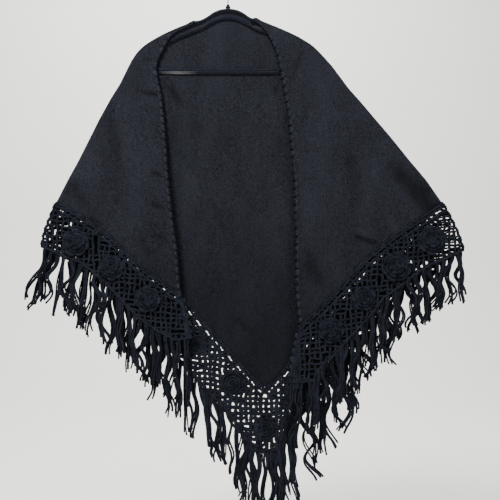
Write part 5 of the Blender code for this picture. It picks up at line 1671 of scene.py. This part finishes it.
def flock_material(colour):
    """Flocked polystyrene: dark velvet specks. At the lower left of the bar the flock is rubbed off and
    smoother, and its colour is lighter there as a painted highlight.
    """
    material, tree, shader = surface("flocked polystyrene", colour, 0.85, sheen=0.02, specular=0.08)
    place = put(tree, "ShaderNodeTexCoord").outputs["Object"]
    axes = put(tree, "ShaderNodeSeparateXYZ", {"Vector": place})
    speck = noise_at(tree, place, FLOCK_SPECKS, 2.0, rough=0.7)
    shares = [
        put(tree, "ShaderNodeMapRange", {"Value": axes.outputs[axis], "From Min": start, "From Max": full})
        for axis, (start, full) in (("Z", GLINT_WEAR_FROM_ABOVE), ("X", GLINT_WEAR_FROM_RIGHT), ("X", GLINT_WEAR_FROM_LEFT))
    ]
    shares.append(put(tree, "ShaderNodeMath", {0: speck, 1: 1.5, 2: 0.25}, operation="MULTIPLY_ADD"))
    wear_and_glint = shares[0].outputs[0]
    for share in shares[1:]:
        factors = {0: wear_and_glint, 1: share.outputs[0]}
        wear_and_glint = put(tree, "ShaderNodeMath", factors, operation="MULTIPLY").outputs[0]
    rough = put(tree, "ShaderNodeMapRange", {"Value": wear_and_glint, "To Min": 0.85, "To Max": 0.48})
    tree.links.new(rough.outputs[0], shader.inputs["Roughness"])
    shine = put(tree, "ShaderNodeMapRange", {"Value": wear_and_glint, "To Min": 0.0, "To Max": 1.0})
    steep = put(tree, "ShaderNodeMapRange", {"Value": speck, "From Min": 0.4, "From Max": 0.62})
    velvet = tone(tree, steep.outputs[0], [1.4 * c for c in colour[:3]], 0.95)
    # Painted highlight: the lighter colour of the rubbed patch sits where the glint falls on the bar
    wear_glint_mix = put(tree, "ShaderNodeMix", {"Factor": shine.outputs[0], "A": velvet, "B": BARE_PLASTIC_GLINT},
               data_type="RGBA")
    tree.links.new(wear_glint_mix.outputs["Result"], shader.inputs["Base Color"])
    bump = put(tree, "ShaderNodeBump", {"Height": speck, "Distance": 0.0008, "Strength": 0.5})
    tree.links.new(bump.outputs[0], shader.inputs["Normal"])
    return material


def steel_material(colour):
    """Bright drawn steel wire: fine lines along the wire soften its reflections."""
    material, tree, shader = surface("drawn steel wire", colour, 0.25, metallic=1.0)
    place = put(tree, "ShaderNodeTexCoord").outputs["Object"]
    lines = noise_at(tree, place, WIRE_LINES, 2.0, (1.0, 1.0, 0.2))
    rough = put(tree, "ShaderNodeMapRange", {"Value": lines, "To Min": 0.16, "To Max": 0.36})
    tree.links.new(rough.outputs[0], shader.inputs["Roughness"])
    return material


def backdrop_material(colour):
    """Matte painted board of the studio's floor and sweep."""
    material, tree, shader = surface("matte painted board", colour, 0.9, specular=0.2)
    place = put(tree, "ShaderNodeTexCoord").outputs["Object"]
    cloud = noise_at(tree, place, BOARD_CLOUDS)
    tree.links.new(tone(tree, cloud, colour, 0.02), shader.inputs["Base Color"])
    return material


def finish_piece(obj, slot, *nodes):
    """Hands a finished piece to the frame, in place of the solids that it stands for."""
    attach(obj, "root")
    if nodes:
        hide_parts(*nodes)


class ShawlSettings(bpy.types.PropertyGroup):
    """Colours and sizes of the shawl that a user would change"""

    wool_colour: bpy.props.FloatVectorProperty(
        name="Wool colour", description="Colour of the brushed knit", subtype="COLOR", size=4,
        default=linear_colour("#1A1B21"), min=0, max=1)
    yarn_colour: bpy.props.FloatVectorProperty(
        name="Yarn colour", description="Colour of the crochet yarn and the fringe", subtype="COLOR", size=4,
        default=linear_colour("#111319"), min=0, max=1)
    edging_colour: bpy.props.FloatVectorProperty(
        name="Edging colour", description="Colour of the picot edging", subtype="COLOR", size=4,
        default=linear_colour("#17191F"), min=0, max=1)
    # Painted shade: colour of the dark buttons that stand in for the shade inside the eyelets
    eyelet_shade_colour: bpy.props.FloatVectorProperty(
        name="Eyelet shade colour", description="Shade inside the edging's eyelets", subtype="COLOR", size=4,
        default=linear_colour("#050508"), min=0, max=1)
    flock_colour: bpy.props.FloatVectorProperty(
        name="Hanger colour", description="Colour of the hanger's flock", subtype="COLOR", size=4,
        default=linear_colour("#0E1018"), min=0, max=1)
    steel_colour: bpy.props.FloatVectorProperty(
        name="Hook colour", description="Colour of the hook's wire", subtype="COLOR", size=4,
        default=linear_colour("#C9C8C5"), min=0, max=1)
    picot_pitch: bpy.props.FloatProperty(
        name="Picot pitch", description="Distance from one picot to the next", unit="LENGTH", default=0.0198,
        min=0.008, max=0.04)
    picot_reach: bpy.props.FloatProperty(
        name="Picot reach", description="How far a picot stands out", unit="LENGTH", default=0.0105,
        min=0.004, max=0.02)
    net_pitch: bpy.props.FloatProperty(
        name="Net pitch", description="Size of the net's squares", unit="LENGTH", default=0.0128, min=0.008,
        max=0.03)
    yarn_width: bpy.props.FloatProperty(
        name="Crochet yarn", description="Width of a crocheted run of yarn", unit="LENGTH", default=0.0068,
        min=0.001, max=0.009)
    fringe_pitch: bpy.props.FloatProperty(
        name="Fringe pitch", description="Distance from one bundle to the next", unit="LENGTH",
        default=0.0195, min=0.01, max=0.04)
    fringe_length: bpy.props.FloatProperty(
        name="Fringe length", description="Length of the fringe", unit="LENGTH", default=0.143, min=0.03,
        max=0.3)
    fringe_yarn_width: bpy.props.FloatProperty(
        name="Fringe yarn", description="Width of one yarn of the fringe", unit="LENGTH", default=0.0061,
        min=0.001, max=0.009)


def aim_at(obj, place, target):
    obj.location = place
    obj.rotation_euler = (Vector(target) - Vector(place)).to_track_quat("-Z", "Y").to_euler()


class SHAWL_OT_build_stage(bpy.types.Operator):
    """Set up the pale floor and sweep, the soft lights and the camera at the front"""

    bl_idname = "shawl.build_stage"
    bl_label = "Floor, light and camera"

    def execute(self, context):
        scene = context.scene
        board = backdrop_material(linear_colour("#F7F6F2"))
        sweep = [(-5.0, FLOOR_Z), (SWEEP_Y, FLOOR_Z)]
        sweep += [(SWEEP_Y + SWEEP_RADIUS * math.sin(a), FLOOR_Z + SWEEP_RADIUS - SWEEP_RADIUS * math.cos(a))
                  for a in np.linspace(0.1, math.pi / 2, 12)]
        sweep.append((SWEEP_Y + SWEEP_RADIUS, SWEEP_TOP_Z))
        points = [(x, y, z) for y, z in sweep for x in (-SWEEP_HALF_WIDTH, SWEEP_HALF_WIDTH)]
        faces = [(2 * i, 2 * i + 1, 2 * i + 3, 2 * i + 2) for i in range(len(sweep) - 1)]
        add_object("studio_floor", points, faces, material=board)
        for name, place, target, size, power in LIGHTS:
            light = bpy.data.lights.new(name, "AREA")
            light.size, light.energy = size, power
            obj = bpy.data.objects.new(name, light)
            scene.collection.objects.link(obj)
            aim_at(obj, place, target)
        world = bpy.data.worlds.new("soft studio")
        world.use_nodes = True
        sky = world.node_tree.nodes["Background"]
        sky.inputs["Color"].default_value = linear_colour("#F2F3F6")
        sky.inputs["Strength"].default_value = WORLD_STRENGTH
        scene.world = world
        camera = bpy.data.objects.new("camera_front", bpy.data.cameras.new("camera_front"))
        camera.data.sensor_width = CAMERA_SENSOR
        camera.data.lens = CAMERA_SENSOR * CAMERA_DISTANCE / VIEW_WIDTH
        scene.collection.objects.link(camera)
        aim_at(camera, (VIEW_X, -CAMERA_DISTANCE, VIEW_Z), (VIEW_X, 0.0, VIEW_Z))
        scene.camera = camera
        return {"FINISHED"}


class SHAWL_PT_panel(bpy.types.Panel):
    bl_label = "Shawl"
    bl_idname = "SHAWL_PT_panel"
    bl_space_type = "VIEW_3D"
    bl_region_type = "UI"
    bl_category = "Shawl"

    def draw(self, context):
        for name in ShawlSettings.__annotations__:
            self.layout.prop(context.scene.shawl, name)
        for operator in OPERATORS:
            self.layout.operator(operator.bl_idname)


OPERATORS = (
    SHAWL_OT_build_stage, SHAWL_OT_build_hanger, SHAWL_OT_build_wool, SHAWL_OT_build_edging,
    SHAWL_OT_build_net, SHAWL_OT_build_roses, SHAWL_OT_build_fringe,
)
CLASSES = (ShawlSettings, *OPERATORS, SHAWL_PT_panel)


def register():
    for cls in CLASSES:
        bpy.utils.register_class(cls)
    bpy.types.Scene.shawl = bpy.props.PointerProperty(type=ShawlSettings)


def unregister():
    del bpy.types.Scene.shawl
    for cls in reversed(CLASSES):
        bpy.utils.unregister_class(cls)


def main():
    register()
    given = bpy.context.scene.shawl
    TREES.update(yarn=yarn_tree(), place=place_tree())
    MATERIALS.update(
        wool=wool_material(given.wool_colour), yarn=yarn_material("crochet yarn", given.yarn_colour, 0.9),
        rose=yarn_material("crocheted rose yarn", given.yarn_colour, 0.9),
        edging=yarn_material("crocheted edging yarn", given.edging_colour, 0.7),
        # Painted shade: the eyelets' dark buttons
        shade=yarn_material("yarn inside the eyelets", given.eyelet_shade_colour, 0.3),
        flock=flock_material(given.flock_colour), steel=steel_material(given.steel_colour),
    )
    for operator in OPERATORS:
        group, name = operator.bl_idname.split(".")
        if getattr(getattr(bpy.ops, group), name)() != {"FINISHED"}:
            raise RuntimeError(operator.bl_label + " was not finished")


if __name__ == "__main__":
    main()
